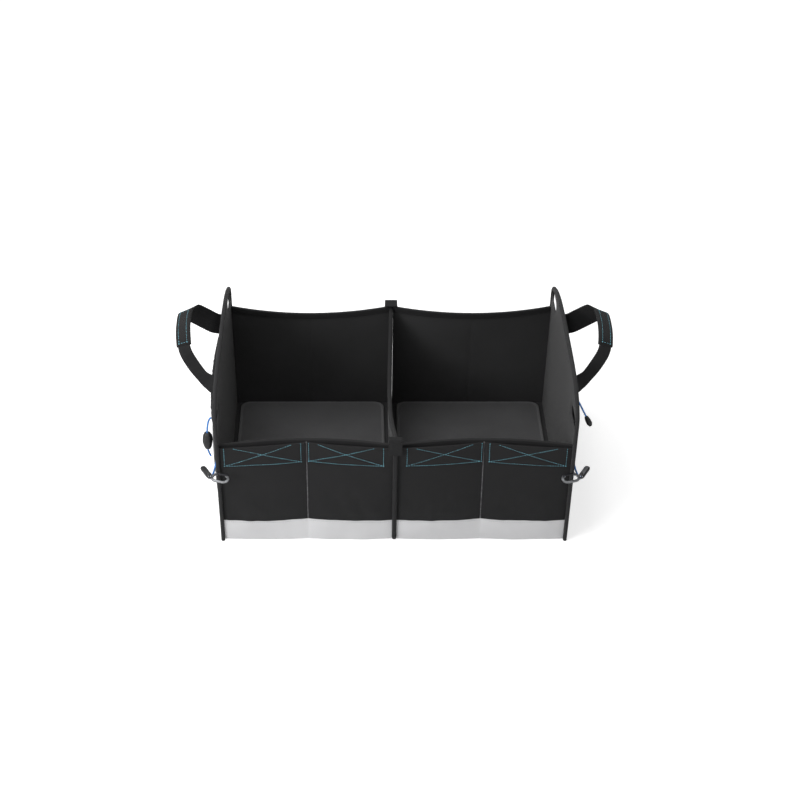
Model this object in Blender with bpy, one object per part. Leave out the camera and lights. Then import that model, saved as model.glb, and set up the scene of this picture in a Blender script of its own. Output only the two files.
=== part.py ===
# Car storage box: an open folding fabric box with two compartments, front pockets,
# side pockets, webbing handles and two corner hooks.
# Metres, +Z up, origin at the centre of the underside, front towards -Y.
import math

import bmesh
import bpy
from mathutils import Matrix, Vector

# Overall size, from outside edge to outside edge of the bound panels
WIDTH = 0.650            # between the middles of the two side panels at the floor
DEPTH = 0.480            # front bound edge to rear bound edge
SIDE_HEIGHT = 0.322      # top of a side panel's arch
CORNER_HEIGHT = 0.280    # height of a side panel's front and rear corners
FRONT_ARCH_POWER = 5.0   # squareness of the arch towards the front
REAR_ARCH_POWER = 3.2    # squareness of the arch towards the rear
CORNER_ROUND = 0.016     # how far the rounding of a top corner reaches
FLARE = 0.006            # outward lean of a side panel at its top
FIN_REACH = 0.0145       # a bound edge stands this far out of the wall's middle

# Sheets
CLEAR = 0.0003           # gap between pieces that touch
PANEL_THICK = 0.0040     # side panel: cloth over a stiff board
DIVIDER_THICK = 0.0050
WALL_THICK = 0.0035
BOTTOM_THICK = 0.0040
POCKET_THICK = 0.0022
TAPE_THICK = 0.0012      # binding tape, hem bands and the pale strip
BINDING_DEPTH = 0.0085   # how far a binding reaches over its edge
RIM_TAPE_DEPTH = 0.0110

# Front and back walls, each of two halves folded inwards at a crease
FRONT_RIM = 0.2130
BACK_RIM = 0.2400
FRONT_PULL = 0.0200      # how far the crease is drawn in at the front rim
BACK_PULL = 0.0230
BACK_RIM_DIP = 0.0040    # how far the back rim sags at its creases

# Centre divider
DIVIDER_FRONT = 0.2305
DIVIDER_BACK = 0.2435
DIVIDER_DIP = 0.0700     # its top edge sinks this much at mid depth
DIVIDER_BOW = 0.0060     # it bows this far to the left
BOW_HEIGHT = 0.1000      # full bow from here up
TAB_WIDTH = 0.0250
TAB_THICK = 0.0020
TAB_DROP = 0.0310        # length of the tab's outer leg
FRONT_TAB_RUN = 0.0120   # length of the tab over the top
BACK_TAB_RUN = 0.0260

# Front pockets and their bands
MOUTH_DROP = 0.0030      # pocket mouths lie this far below the rim
POCKET_FULLNESS = 0.0090
POCKET_FULL_FROM = 0.0650   # height from which the pockets stand out fully
BAND_HEIGHT = 0.0400
STRIP_HEIGHT = 0.0450
STRIP_LIFT = 0.0010
PIPING_DIAMETER = 0.0026

# Loose floor boards
BOARD_THICK = 0.0050
BOARD_ROUND = 0.0200
BOARD_SIDE_GAP = 0.0090
BOARD_END_GAP = 0.0030

# Slots near the top corners of the side panels
SLOT_LENGTH = 0.0640
SLOT_WIDTH = 0.0220
SLOT_INSET = 0.0160      # from the bound edge to the slot's near end
FRONT_SLOT_DROP = 0.0280   # slot's middle, below the corner's height
REAR_SLOT_DROP = 0.0080

# Handles
STRAP_WIDTH = 0.0400
STRAP_THICK = 0.0024
GRIP_STRAP_WIDTH = 0.0240
GRIP_WIDTH = 0.0290
GRIP_THICK = 0.0090
GRIP_LENGTH = 0.1240
SEWN_DROP = 0.0570       # middle of the strap's sewn ends, below the arch's top
FRONT_SEWN = 0.0840      # depth of the front sewn end's far edge
REAR_SEWN = 0.3960
HANDLE_REACH = 0.0680    # grip's middle, out from the panel
HANDLE_RISE = 0.0760     # grip's middle, above the sewn height
GRIP_FORWARD = 0.0110    # grip's middle, in front of the middle of the sewn ends
HANDLE_STEPS = 3         # stations per row of the handle's path
FRONT_FOLD = (2.3, 1.7)  # rows from the grip at which the folded strap opens, and rows that it takes
REAR_FOLD = (0.17, 0.67)

# Side pockets
SIDE_POCKET_START = 0.0560
SIDE_POCKET_END = 0.4240
SIDE_POCKET_DROP = 0.0330   # pocket's top, below the middle of the sewn strap
SIDE_POCKET_BASE = 0.0080
LEFT_POCKET_FULLNESS = 0.0220
RIGHT_POCKET_FULLNESS = 0.0100
SIDE_HEM_DIAMETER = 0.0070

# Draw cords of the side pockets
CORD_DIAMETER = 0.0034
LEFT_EXIT_SHARE = 0.04   # where the left cord leaves the hem, as a share of its length
RIGHT_EXIT_SHARE = 0.2
RIGHT_CORD_REACH = 0.0200   # the right cord's end, out from the hem
RIGHT_CORD_DROP = 0.0300    # and below it
CORD_END_LENGTH = 0.0220
CORD_END_DIAMETER = 0.0110
LOCK_WIDTH = 0.0160
LOCK_HEIGHT = 0.0360
LOCK_DEPTH = 0.0190
LOCK_DROP = 0.0330       # top of the left cord's lock, below the hem
LOCK_STAND_OFF = 0.0090  # lock's middle, out from the pocket
LOCK_TAIL = 0.0160       # loose end of the left cord under its lock

# Corner hooks on short elastic lanyards
HOOK_STAND_OFF = 0.0128  # hook's cord hole, out from the end panel's face
HOOK_FRONT = -0.0130     # its depth, in front of the bound edge
HOOK_HEIGHT = 0.1625
HOOK_TILT = math.radians(8.0)
HOOK_TURN = math.radians(14.0)
TAIL_BEND = math.radians(45.0)
HOOK_PLATE = 0.0026
HOOK_TAIL = 0.0300       # tail's tip, from the middle of the cord hole
HOOK_TAIL_WIDTH = 0.0110
RING_START = 0.0030
RING_END = 0.0380
RING_WIDTH = 0.0220
RING_BAR = 0.0045
GATE_THICK = 0.0014
GATE_WIDTH = 0.0040
GATE_LAP = 0.0045        # the gate's end, past the middle of the ring's far bend
PIVOT_BACK = 0.0030      # the gate's pin, before the middle of the ring's near bend
PIN_DIAMETER = 0.0024
PIN_HEAD = 0.0008
CORD_HOLE = 0.0062
LANYARD_DIAMETER = 0.0036
KNOT_DIAMETER = 0.0080
ANCHOR_WIDTH = 0.0160
ANCHOR_LENGTH = 0.0300
ANCHOR_DEPTH = 0.0470    # depth of the lanyard's sewn tab, middle
LANYARD_SAG = 0.0085     # the lanyard's lowest point, below the hook

# Values that follow
FRONT_Y = -DEPTH / 2
WALL_Y = DEPTH / 2 - FIN_REACH
PANEL_EDGE = PANEL_THICK / 2 + CLEAR + TAPE_THICK
DIVIDER_EDGE = DIVIDER_THICK / 2 + CLEAR + TAPE_THICK
EDGE_SEAT = CLEAR + TAPE_THICK
WALL_BASE = BOTTOM_THICK + CLEAR
SEWN_HEIGHT = SIDE_HEIGHT - SEWN_DROP
SIDE_POCKET_TOP = SEWN_HEIGHT - SIDE_POCKET_DROP
SIDES = ((-1, "left"), (1, "right"))

# Facets
WALL_COLUMNS = 6         # across each quarter of a wall
POCKET_COLUMNS = (0.0, LEFT_EXIT_SHARE, 0.12, RIGHT_EXIT_SHARE, 0.32, 0.5, 0.7, 0.86, 0.96, 1.0)


def material(name, colour, roughness, metallic=0.0):
    made = bpy.data.materials.new(name)
    made.use_nodes = True
    shader = made.node_tree.nodes["Principled BSDF"]
    shader.inputs["Base Color"].default_value = (*colour, 1.0)
    shader.inputs["Roughness"].default_value = roughness
    shader.inputs["Metallic"].default_value = metallic
    return made


def clear_scene():
    for old in list(bpy.data.objects):
        bpy.data.objects.remove(old, do_unlink=True)


def add_object(name, shape, finish, smooth=True):
    """Turn a bmesh into a named object with outward faces and one material."""
    bmesh.ops.recalc_face_normals(shape, faces=shape.faces)
    mesh = bpy.data.meshes.new(name)
    shape.to_mesh(mesh)
    shape.free()
    mesh.materials.append(finish)
    if smooth:
        mesh.shade_smooth()
        mesh.set_sharp_from_angle(angle=math.radians(35.0))
    made = bpy.data.objects.new(name, mesh)
    bpy.context.scene.collection.objects.link(made)
    return made


def lerp(start, end, share):
    return start + (end - start) * share


def steps(count):
    return [index / count for index in range(count + 1)]


def depth_y(depth):
    """World Y of a depth measured back from the front bound edge."""
    return FRONT_Y + depth


def loft(name, rings, finish, smooth=True):
    """Closed solid through a row of rings that have the same number of points."""
    shape = bmesh.new()
    loops = [[shape.verts.new(point) for point in ring] for ring in rings]
    size = len(loops[0])
    for near, far in zip(loops, loops[1:]):
        for index in range(size):
            after = (index + 1) % size
            shape.faces.new((near[index], near[after], far[after], far[index]))
    shape.faces.new(list(reversed(loops[0])))
    shape.faces.new(loops[-1])
    return add_object(name, shape, finish, smooth)


def sleeve(name, outer_rings, inner_rings, finish):
    """Open tube between two rows of rings."""
    shape = bmesh.new()
    outer = [[shape.verts.new(point) for point in ring] for ring in outer_rings]
    inner = [[shape.verts.new(point) for point in ring] for ring in inner_rings]
    size = len(outer[0])
    for row in (outer, inner):
        for near, far in zip(row, row[1:]):
            for index in range(size):
                after = (index + 1) % size
                shape.faces.new((near[index], near[after], far[after], far[index]))
    for end in (0, -1):
        for index in range(size):
            after = (index + 1) % size
            shape.faces.new((outer[end][index], outer[end][after], inner[end][after], inner[end][index]))
    return add_object(name, shape, finish)


def sheet(name, columns, rows, front, back, finish):
    """Closed sheet between two surfaces, each a function of two shares from 0 to 1."""
    shape = bmesh.new()
    faces = []
    for surface in (front, back):
        grid = [[shape.verts.new(surface(u, v)) for v in rows] for u in columns]
        for here, beside in zip(grid, grid[1:]):
            for index in range(len(rows) - 1):
                shape.faces.new((here[index], beside[index], beside[index + 1], here[index + 1]))
        faces.append(grid)
    near, far = faces
    border = [(i, 0) for i in range(len(columns))]
    border += [(len(columns) - 1, j) for j in range(1, len(rows))]
    border += [(i, len(rows) - 1) for i in range(len(columns) - 2, -1, -1)]
    border += [(0, j) for j in range(len(rows) - 2, 0, -1)]
    for here, after in zip(border, border[1:] + border[:1]):
        a, b = near[here[0]][here[1]], near[after[0]][after[1]]
        c, d = far[after[0]][after[1]], far[here[0]][here[1]]
        shape.faces.new((a, b, c, d))
    return add_object(name, shape, finish)


def smooth_path(points, per_span):
    """Points along a smooth curve that passes through the given ones."""
    whole = [points[0] * 2 - points[1]] + list(points) + [points[-1] * 2 - points[-2]]
    path = []
    for a, b, c, d in zip(whole, whole[1:], whole[2:], whole[3:]):
        for index in range(per_span):
            t = index / per_span
            path.append(0.5 * (2 * b + (c - a) * t + (2 * a - 5 * b + 4 * c - d) * t**2
                               + (3 * b - a - 3 * c + d) * t**3))
    path.append(points[-1].copy())
    return path


def cord(name, points, diameter, finish):
    """Round cord along a row of points, with filled ends."""
    curve = bpy.data.curves.new(name, "CURVE")
    curve.dimensions = "3D"
    curve.bevel_depth = diameter / 2
    curve.bevel_resolution = 2
    curve.use_fill_caps = True
    line = curve.splines.new("POLY")
    line.points.add(len(points) - 1)
    for slot, point in zip(line.points, points):
        slot.co = (*point, 1.0)
    curve.materials.append(finish)
    made = bpy.data.objects.new(name, curve)
    bpy.context.scene.collection.objects.link(made)
    return made


def cut(target, cutter):
    """Apply a Boolean difference, then drop the cutter."""
    apply_boolean(target, cutter, "DIFFERENCE")


def apply_boolean(target, other, operation):
    change = target.modifiers.new("Boolean", "BOOLEAN")
    change.operation = operation
    change.object = other
    change.solver = "EXACT"
    evaluated = target.evaluated_get(bpy.context.evaluated_depsgraph_get())
    mesh = bpy.data.meshes.new_from_object(evaluated)
    target.modifiers.remove(change)
    target.data = mesh
    bpy.data.objects.remove(other, do_unlink=True)


# Side panels

def side_x(z):
    """Distance of a side panel's middle from the middle plane at a height."""
    return WIDTH / 2 + FLARE * z / SIDE_HEIGHT


def arch_height(share):
    """Height of the arch, share from -1 at the front to 1 at the rear."""
    power = FRONT_ARCH_POWER if share < 0 else REAR_ARCH_POWER
    return CORNER_HEIGHT + (SIDE_HEIGHT - CORNER_HEIGHT) * (1 - abs(share) ** power)


def panel_outline():
    """Outer outline in Y and Z from the front foot over the arch to the rear foot."""
    half = DEPTH / 2
    arch = [(half * s, arch_height(s)) for s in (-0.92, -0.85, -0.76, -0.62, -0.4, 0.0)]
    arch += [(half * s, arch_height(s)) for s in (0.3, 0.5, 0.65, 0.78, 0.86, 0.92)]
    low = CORNER_HEIGHT - CORNER_ROUND
    line = [(-half, 0.0), (-half, low * 0.5), (-half, low)]
    line += rounded((-half, low), (-half, CORNER_HEIGHT), arch[0])
    line += arch
    line += rounded(arch[-1], (half, CORNER_HEIGHT), (half, low))
    line += [(half, low), (half, low * 0.5), (half, 0.0)]
    return line


def inward_steps(path):
    """Mitred step into the sheet at each point of an outline that has it on its right."""
    found = []
    for index, (y, z) in enumerate(path):
        runs = []
        for a, b in ((index - 1, index), (index, index + 1)):
            if a >= 0 and b < len(path):
                dy, dz = path[b][0] - path[a][0], path[b][1] - path[a][1]
                size = math.hypot(dy, dz)
                runs.append((dz / size, -dy / size))
        ny = sum(run[0] for run in runs) / len(runs)
        nz = sum(run[1] for run in runs) / len(runs)
        square = ny * ny + nz * nz
        found.append((ny / square, nz / square))
    return found


def inset_path(path, distance):
    return [(y + n[0] * distance, z + n[1] * distance) for (y, z), n in zip(path, inward_steps(path))]


def rounded(start, corner, end):
    """Points of a rounded corner between two points, ends left out."""
    points = []
    for t in (0.25, 0.5, 0.75):
        y = (1 - t) ** 2 * start[0] + 2 * t * (1 - t) * corner[0] + t**2 * end[0]
        z = (1 - t) ** 2 * start[1] + 2 * t * (1 - t) * corner[1] + t**2 * end[1]
        points.append((y, z))
    return points


def plate(name, outline, place, thick, finish):
    """Flat plate on an outline in Y and Z; place gives the X of its middle at a height."""
    sides = [[Vector((place(z) + shift, y, z)) for y, z in outline] for shift in (-thick / 2, thick / 2)]
    return loft(name, sides, finish, smooth=False)


def slot_cutter(side, end, finish):
    """Round-ended bar that cuts the slot at one end of a side panel."""
    radius = SLOT_WIDTH / 2
    run = SLOT_LENGTH - SLOT_WIDTH
    centre = end * (DEPTH / 2 - SLOT_INSET - SLOT_LENGTH / 2)
    height = CORNER_HEIGHT - (FRONT_SLOT_DROP if end < 0 else REAR_SLOT_DROP)
    ring = []
    for index in range(12):
        angle = 2 * math.pi * (index + 0.5) / 12
        shift = math.copysign(run / 2, math.cos(angle))
        ring.append((centre + shift + radius * math.cos(angle), height + radius * math.sin(angle)))
    reach = FLARE + PANEL_THICK
    x = side * WIDTH / 2
    sides = [[Vector((x + shift, y, z)) for y, z in ring] for shift in (-reach, reach)]
    return loft("slot_cutter", sides, finish, smooth=False)


def side_panels(finish):
    for side, word in SIDES:
        outline = inset_path(panel_outline(), EDGE_SEAT)
        panel = plate(word + "_side_panel", outline, lambda z: side * side_x(z), PANEL_THICK, finish)
        for end in (-1, 1):
            cut(panel, slot_cutter(side, end, finish))


def edge_binding(name, path, half_thick, place, finish):
    """U-shaped tape over an edge; path runs in Y and Z with the sheet on its right."""
    rings = []
    seat = half_thick + CLEAR
    outer = seat + TAPE_THICK
    lip = TAPE_THICK * 0.6
    section = [(-outer, BINDING_DEPTH), (-outer, lip), (-outer + lip, 0.0), (outer - lip, 0.0), (outer, lip),
               (outer, BINDING_DEPTH), (seat, BINDING_DEPTH), (seat, TAPE_THICK), (-seat, TAPE_THICK),
               (-seat, BINDING_DEPTH)]
    for (y, z), inward in zip(path, inward_steps(path)):
        ring = []
        for across, deep in section:
            spot = (y + inward[0] * deep, z + inward[1] * deep)
            ring.append(Vector((place(*spot) + across, *spot)))
        rings.append(ring)
    return loft(name, rings, finish)


def panel_bindings(finish):
    for side, word in SIDES:
        path = panel_outline()
        edge_binding(word + "_panel_binding", path, PANEL_THICK / 2, lambda y, z: side * side_x(z), finish)


# Centre divider

def divider_top(y):
    share = max(-1.0, min(1.0, y / (DEPTH / 2)))
    level = lerp(DIVIDER_FRONT, DIVIDER_BACK, (share + 1) / 2)
    return level - DIVIDER_DIP * (1 - share**2) ** 1.5


def divider_x(y, z):
    share = max(-1.0, min(1.0, y / (DEPTH / 2)))
    return -DIVIDER_BOW * (1 - share**2) ** 2 * max(0.0, min(1.0, z / BOW_HEIGHT))


def divider_path():
    """Edge of the divider's binding from the front foot over the top to the rear foot."""
    half = DEPTH / 2
    line = [(-half, WALL_BASE)]
    for share in (-1.0, -0.9, -0.78, -0.64, -0.48, -0.3, -0.1, 0.1, 0.3, 0.48, 0.64, 0.78, 0.9, 1.0):
        line.append((half * share, divider_top(half * share) + EDGE_SEAT))
    line.append((half, WALL_BASE))
    return line


def divider(finish):
    crest = inset_path(divider_path(), EDGE_SEAT)[1:-1]

    def face(shift):
        def point(index, v):
            y, top = crest[index]
            z = lerp(WALL_BASE, top, v)
            return Vector((divider_x(y, z) + shift, y, z))
        return point

    half = DIVIDER_THICK / 2
    sheet("centre_divider", range(len(crest)), steps(4), face(-half), face(half), finish)


def divider_binding(finish):
    edge_binding("divider_binding", divider_path(), DIVIDER_THICK / 2, divider_x, finish)


def centre_tabs(finish):
    """Webbing tab folded over each end of the divider."""
    for end, word, top in ((-1, "front", DIVIDER_FRONT), (1, "back", DIVIDER_BACK)):
        low = top + EDGE_SEAT + CLEAR
        near = DEPTH / 2 + CLEAR
        far = near - (FRONT_TAB_RUN if end < 0 else BACK_TAB_RUN)
        line = [(near + TAB_THICK, low - TAB_DROP), (near + TAB_THICK, low + TAB_THICK * 0.4),
                (near + TAB_THICK * 0.4, low + TAB_THICK), (far, low + TAB_THICK),
                (far, low), (near, low), (near, low - TAB_DROP)]
        sides = [[Vector((x, end * y, z)) for y, z in line] for x in (-TAB_WIDTH / 2, TAB_WIDTH / 2)]
        loft(word + "_centre_tab", sides, finish, smooth=False)


# Front and back walls

def wall_shape(end):
    """Rim height, pull and dip of the front (-1) or back (1) wall."""
    if end < 0:
        return FRONT_RIM, FRONT_PULL, 0.0
    return BACK_RIM, BACK_PULL, BACK_RIM_DIP


def wall_y(end, share, z):
    """Y of the wall's middle; share runs from 0 at the divider to 1 at the side panel."""
    rim, pull, _ = wall_shape(end)
    bend = 1 - (2 * share - 1) ** 2
    return end * (WALL_Y - pull * (z / rim) * bend)


def rim_height(end, share):
    rim, _, dip = wall_shape(end)
    return rim - dip * (1 - (2 * share - 1) ** 2)


def wall_x(share, z, inner, outer):
    """Distance from the middle plane, kept clear of the divider and of the side panel."""
    return max(inner, min(side_x(z) - outer, share * side_x(z)))


def wall_panels(finish):
    names = {-1: "front", 1: "back"}
    inner = DIVIDER_EDGE + CLEAR
    outer = PANEL_THICK / 2 + CLEAR
    seam = CLEAR / WIDTH * 2
    half = WALL_THICK / 2
    for end in (-1, 1):
        for side, word in SIDES:
            for place, low, high in (("inner", 0.0, 0.5 - seam), ("outer", 0.5 + seam, 1.0)):

                def face(shift):
                    def point(u, v):
                        share = lerp(low, high, u)
                        z = lerp(WALL_BASE, rim_height(end, share), v)
                        x = wall_x(share, z, inner, outer)
                        return Vector((side * x, wall_y(end, x / side_x(z), z) + shift, z))
                    return point

                name = "_".join((names[end], word, place, "wall"))
                sheet(name, steps(WALL_COLUMNS), steps(3), face(-half), face(half), finish)


def rim_bindings(finish):
    names = {-1: "front", 1: "back"}
    seat = WALL_THICK / 2 + CLEAR
    edge = seat + TAPE_THICK
    roll = TAPE_THICK * 0.7
    inner = DIVIDER_EDGE + CLEAR
    outer = PANEL_EDGE + CLEAR
    for end in (-1, 1):
        for side, word in SIDES:
            rings = []
            for share in steps(2 * WALL_COLUMNS):
                top = rim_height(end, share)
                low = top - RIM_TAPE_DEPTH
                section = [(-edge, low), (-edge, top + EDGE_SEAT - roll), (-edge + roll, top + EDGE_SEAT),
                           (edge - roll, top + EDGE_SEAT), (edge, top + EDGE_SEAT - roll), (edge, low),
                           (seat, low), (seat, top + CLEAR), (-seat, top + CLEAR), (-seat, low)]
                ring = []
                for across, z in section:
                    x = wall_x(share, z, inner, outer)
                    ring.append(Vector((side * x, wall_y(end, x / side_x(z), z) + across, z)))
                rings.append(ring)
            loft(names[end] + "_" + word + "_rim_binding", rings, finish)


# Front pockets

def pocket_back(share, z):
    """Y of a front pocket's back face; it stands clear of the rim tape on the wall."""
    across = (2 * share) % 1.0
    spread = max(math.sin(math.pi * across), 0.0) ** 0.8
    grow = min(1.0, lerp(0.35, 1.0, z / POCKET_FULL_FROM))
    return wall_y(-1, share, z) - WALL_THICK / 2 - EDGE_SEAT - CLEAR - POCKET_FULLNESS * spread * grow


def front_layer(name, side, span, heights, offset, thick, finish, columns):
    """Sheet that follows the front pockets, offset forwards from their back face."""
    inner = DIVIDER_EDGE + CLEAR
    outer = PANEL_EDGE + CLEAR

    def face(shift):
        def point(u, v):
            share = lerp(span[0], span[1], u)
            z = heights[v]
            x = wall_x(share, z, inner, outer)
            return Vector((side * x, pocket_back(x / side_x(z), z) - offset - shift, z))
        return point

    return sheet(name, columns, range(len(heights)), face(thick), face(0.0), finish)


def quarter_spans():
    """Shares of the inner and outer pocket of one half, clear of the crease piping."""
    seam = (PIPING_DIAMETER / 2 + CLEAR) / (WIDTH / 2)
    return (("inner", 0.0, 0.5 - seam), ("outer", 0.5 + seam, 0.99999))


def front_pockets(finish, band_finish):
    mouth = FRONT_RIM - MOUTH_DROP
    band = (mouth - BAND_HEIGHT, mouth)
    levels = (WALL_BASE, STRIP_HEIGHT, POCKET_FULL_FROM) + band
    for side, word in SIDES:
        for place, low, high in quarter_spans():
            name = word + "_" + place
            front_layer("front_pocket_" + name, side, (low, high), levels, 0.0, POCKET_THICK,
                        finish, steps(WALL_COLUMNS))
            front_layer("stitched_band_" + name, side, (low, high), band,
                        POCKET_THICK + CLEAR, TAPE_THICK, band_finish, steps(WALL_COLUMNS))


def pale_strips(finish):
    offset = POCKET_THICK + CLEAR
    levels = (STRIP_LIFT, WALL_BASE, STRIP_HEIGHT)
    spans = quarter_spans()
    columns = [lerp(low, high, share) for _, low, high in spans for share in steps(WALL_COLUMNS)]
    for side, word in SIDES:
        front_layer(word + "_pale_strip", side, (0.0, 1.0), levels, offset, TAPE_THICK,
                    finish, columns)


def crease_piping(finish):
    """Thin piping in the seam between two pockets, from the pale strip to the mouths."""
    radius = PIPING_DIAMETER / 2
    for side, word in SIDES:
        rings = []
        for z in (STRIP_HEIGHT + CLEAR, 0.09, 0.13, 0.17, FRONT_RIM - MOUTH_DROP):
            x = side * wall_x(0.5, z, DIVIDER_EDGE + CLEAR, PANEL_EDGE + CLEAR)
            y = wall_y(-1, 0.5, z) - WALL_THICK / 2 - EDGE_SEAT - CLEAR - POCKET_THICK / 2
            ring = []
            for index in range(8):
                angle = math.pi * index / 4
                ring.append(Vector((x + radius * math.cos(angle), y + radius * math.sin(angle), z)))
            rings.append(ring)
        loft(word + "_crease_piping", rings, finish)


# Floor

def bottom_panel(finish):
    half_x = WIDTH / 2 - PANEL_THICK / 2 - CLEAR
    half_y = WALL_Y + WALL_THICK / 2
    corners = [(-half_x, -half_y), (half_x, -half_y), (half_x, half_y), (-half_x, half_y)]
    sides = [[Vector((x, y, z)) for x, y in corners] for z in (0.0, BOTTOM_THICK)]
    loft("bottom_panel", sides, finish, smooth=False)


def floor_boards(finish):
    """Loose stiff boards that lie on the bottom, rounded at their corners."""
    near = DIVIDER_EDGE + BOARD_SIDE_GAP
    far = WIDTH / 2 - PANEL_THICK / 2 - BOARD_SIDE_GAP
    half_y = WALL_Y - WALL_THICK / 2 - BOARD_END_GAP
    half_x = (far - near) / 2
    base = BOTTOM_THICK + CLEAR
    edge = BOARD_THICK / 4
    levels = [(base, edge), (base + edge, 0.0), (base + BOARD_THICK - edge, 0.0), (base + BOARD_THICK, edge)]
    for side, word in SIDES:
        outline = []
        for end_x, end_y, start in ((1, 1, 0), (-1, 1, 90), (-1, -1, 180), (1, -1, 270)):
            for index in range(5):
                angle = math.radians(start + 22.5 * index)
                outline.append((end_x * (half_x - BOARD_ROUND) + BOARD_ROUND * math.cos(angle),
                                end_y * (half_y - BOARD_ROUND) + BOARD_ROUND * math.sin(angle)))
        rings = []
        for z, inset in levels:
            ring = []
            for x, y in outline:
                across = (near + far) / 2 + x * (1 - inset / half_x)
                ring.append(Vector((side * across, y * (1 - inset / half_y), z)))
            rings.append(ring)
        loft(word + "_floor_board", rings, finish)


# Handles

def handle_stations(side):
    """Middle points and width directions along a handle's strap, front sewn end first.

    Each row holds shares of the handle's reach, of its length and of its rise, and a width direction.
    """
    skin = side_x(SEWN_HEIGHT) + PANEL_THICK / 2 + CLEAR + STRAP_THICK / 2
    rows = [
        (0.0, 0.0, 0.0, (0.0, 0.0, 1.0)),
        (0.009, 0.128, 0.0, (0.0, 0.0, 1.0)),
        (0.18, 0.167, 0.066, (-0.2, 0.0, 1.0)),
        (0.42, 0.186, 0.237, (-0.5, 0.1, 0.8)),
        (0.66, 0.212, 0.50, (-0.7, 0.3, 0.6)),
        (0.86, 0.244, 0.79, (-0.9, 0.2, 0.45)),
        (0.93, 0.308, 0.97, (-1.0, 0.0, 0.35)),
        (0.99, 0.47, 1.0, (-1.0, 0.0, 0.35)),
        (0.985, 0.667, 0.90, (-1.0, 0.0, 0.4)),
        (0.80, 0.744, 0.658, (-0.6, 0.3, 0.75)),
        (0.50, 0.782, 0.395, (-0.3, 0.3, 0.9)),
        (0.22, 0.808, 0.184, (-0.1, 0.2, 1.0)),
        (0.009, 0.865, 0.053, (0.0, 0.0, 1.0)),
        (0.0, 1.0, 0.0, (0.0, 0.0, 1.0)),
    ]
    points = []
    for out, back, up, _ in rows:
        depth = lerp(FRONT_SEWN, REAR_SEWN, back)
        points.append(Vector((skin + HANDLE_REACH * out, depth_y(depth), SEWN_HEIGHT + HANDLE_RISE * up)))
    points = smooth_path(points, HANDLE_STEPS)
    lean = FLARE / SIDE_HEIGHT
    widths = smooth_path([Vector((w[0] + lean, w[1], w[2])).normalized() for _, _, _, w in rows], HANDLE_STEPS)
    for point in points:
        point.x = max(point.x, skin + lean * (point.z - SEWN_HEIGHT))
    for vector in points + widths:
        vector.x *= side
    return points, widths


def ribbon_rings(points, widths, width_at, thick_at):
    """Rectangular rings across a ribbon; width and thickness follow the index."""
    rings = []
    for index, point in enumerate(points):
        before = points[max(index - 1, 0)]
        after = points[min(index + 1, len(points) - 1)]
        along = (after - before).normalized()
        across = (widths[index] - along * widths[index].dot(along)).normalized()
        face = along.cross(across)
        half = across * width_at(index) / 2
        deep = face * thick_at(index) / 2
        rings.append([point - half - deep, point + half - deep, point + half + deep, point - half + deep])
    return rings


def grip_span(points):
    """First and last index of the stations that the grip covers."""
    middle = depth_y((FRONT_SEWN + REAR_SEWN) / 2 - GRIP_FORWARD)
    low = SEWN_HEIGHT + HANDLE_RISE / 2
    inside = [i for i, p in enumerate(points) if abs(p.y - middle) <= GRIP_LENGTH / 2 and p.z > low]
    return inside[0], inside[-1]


def handles(strap_finish, grip_finish):
    for side, word in SIDES:
        points, widths = handle_stations(side)
        first, last = grip_span(points)

        def spread(index):
            """Share by which the folded strap has opened to its full width."""
            start, run = FRONT_FOLD if index < first else REAR_FOLD
            rows_away = max(first - index, index - last, 0) / HANDLE_STEPS
            return min(1.0, max(0.0, (rows_away - start) / run))

        def narrow(index):
            return lerp(GRIP_STRAP_WIDTH, STRAP_WIDTH, spread(index))

        def thick(index):
            return lerp(STRAP_THICK * 1.6, STRAP_THICK, spread(index))

        loft(word + "_handle_strap", ribbon_rings(points, widths, narrow, thick), strap_finish)
        span = slice(first, last + 1)
        outer = ribbon_rings(points[span], widths[span], lambda i: GRIP_WIDTH, lambda i: GRIP_THICK)
        room = CLEAR * 2
        inner = ribbon_rings(points[span], widths[span], lambda i: GRIP_STRAP_WIDTH + room,
                             lambda i: STRAP_THICK * 1.6 + room)
        sleeve(word + "_handle_grip", outer, inner, grip_finish)


# Side pockets and their draw cords

def side_pocket_x(side, u, v):
    """Distance from the middle plane of a side pocket's inner face."""
    z = lerp(SIDE_POCKET_BASE, SIDE_POCKET_TOP, v)
    fullness = LEFT_POCKET_FULLNESS if side < 0 else RIGHT_POCKET_FULLNESS
    spread = max(math.sin(math.pi * u), 0.0) ** 0.7
    rise = 0.55 + 0.45 * math.sin(math.pi * min(1.0, v * 0.85 + 0.15))
    return side_x(z) + PANEL_THICK / 2 + CLEAR + fullness * spread * rise


def side_pocket_y(u):
    return depth_y(lerp(SIDE_POCKET_START, SIDE_POCKET_END, u))


def side_pockets(finish, hem_finish):
    radius = SIDE_HEM_DIAMETER / 2
    for side, word in SIDES:

        def face(shift):
            def point(u, v):
                z = lerp(SIDE_POCKET_BASE, SIDE_POCKET_TOP, v)
                return Vector((side * (side_pocket_x(side, u, v) + shift), side_pocket_y(u), z))
            return point

        sheet(word + "_side_pocket", POCKET_COLUMNS, steps(4), face(POCKET_THICK), face(0.0), finish)
        rings = []
        for u in POCKET_COLUMNS:
            ring = []
            for index in range(8):
                angle = math.pi * (index + 0.5) / 4
                x = side_pocket_x(side, u, 1.0) + radius * (1 + math.cos(angle))
                z = hem_height() + radius * math.sin(angle)
                ring.append(Vector((side * x, side_pocket_y(u), z)))
            rings.append(ring)
        loft(word + "_pocket_hem", rings, hem_finish)


def hem_height():
    """Middle of a side pocket's hem; its facets just clear the pocket's top edge."""
    return SIDE_POCKET_TOP + CLEAR + SIDE_HEM_DIAMETER / 2 * math.cos(math.pi / 8)


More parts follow.
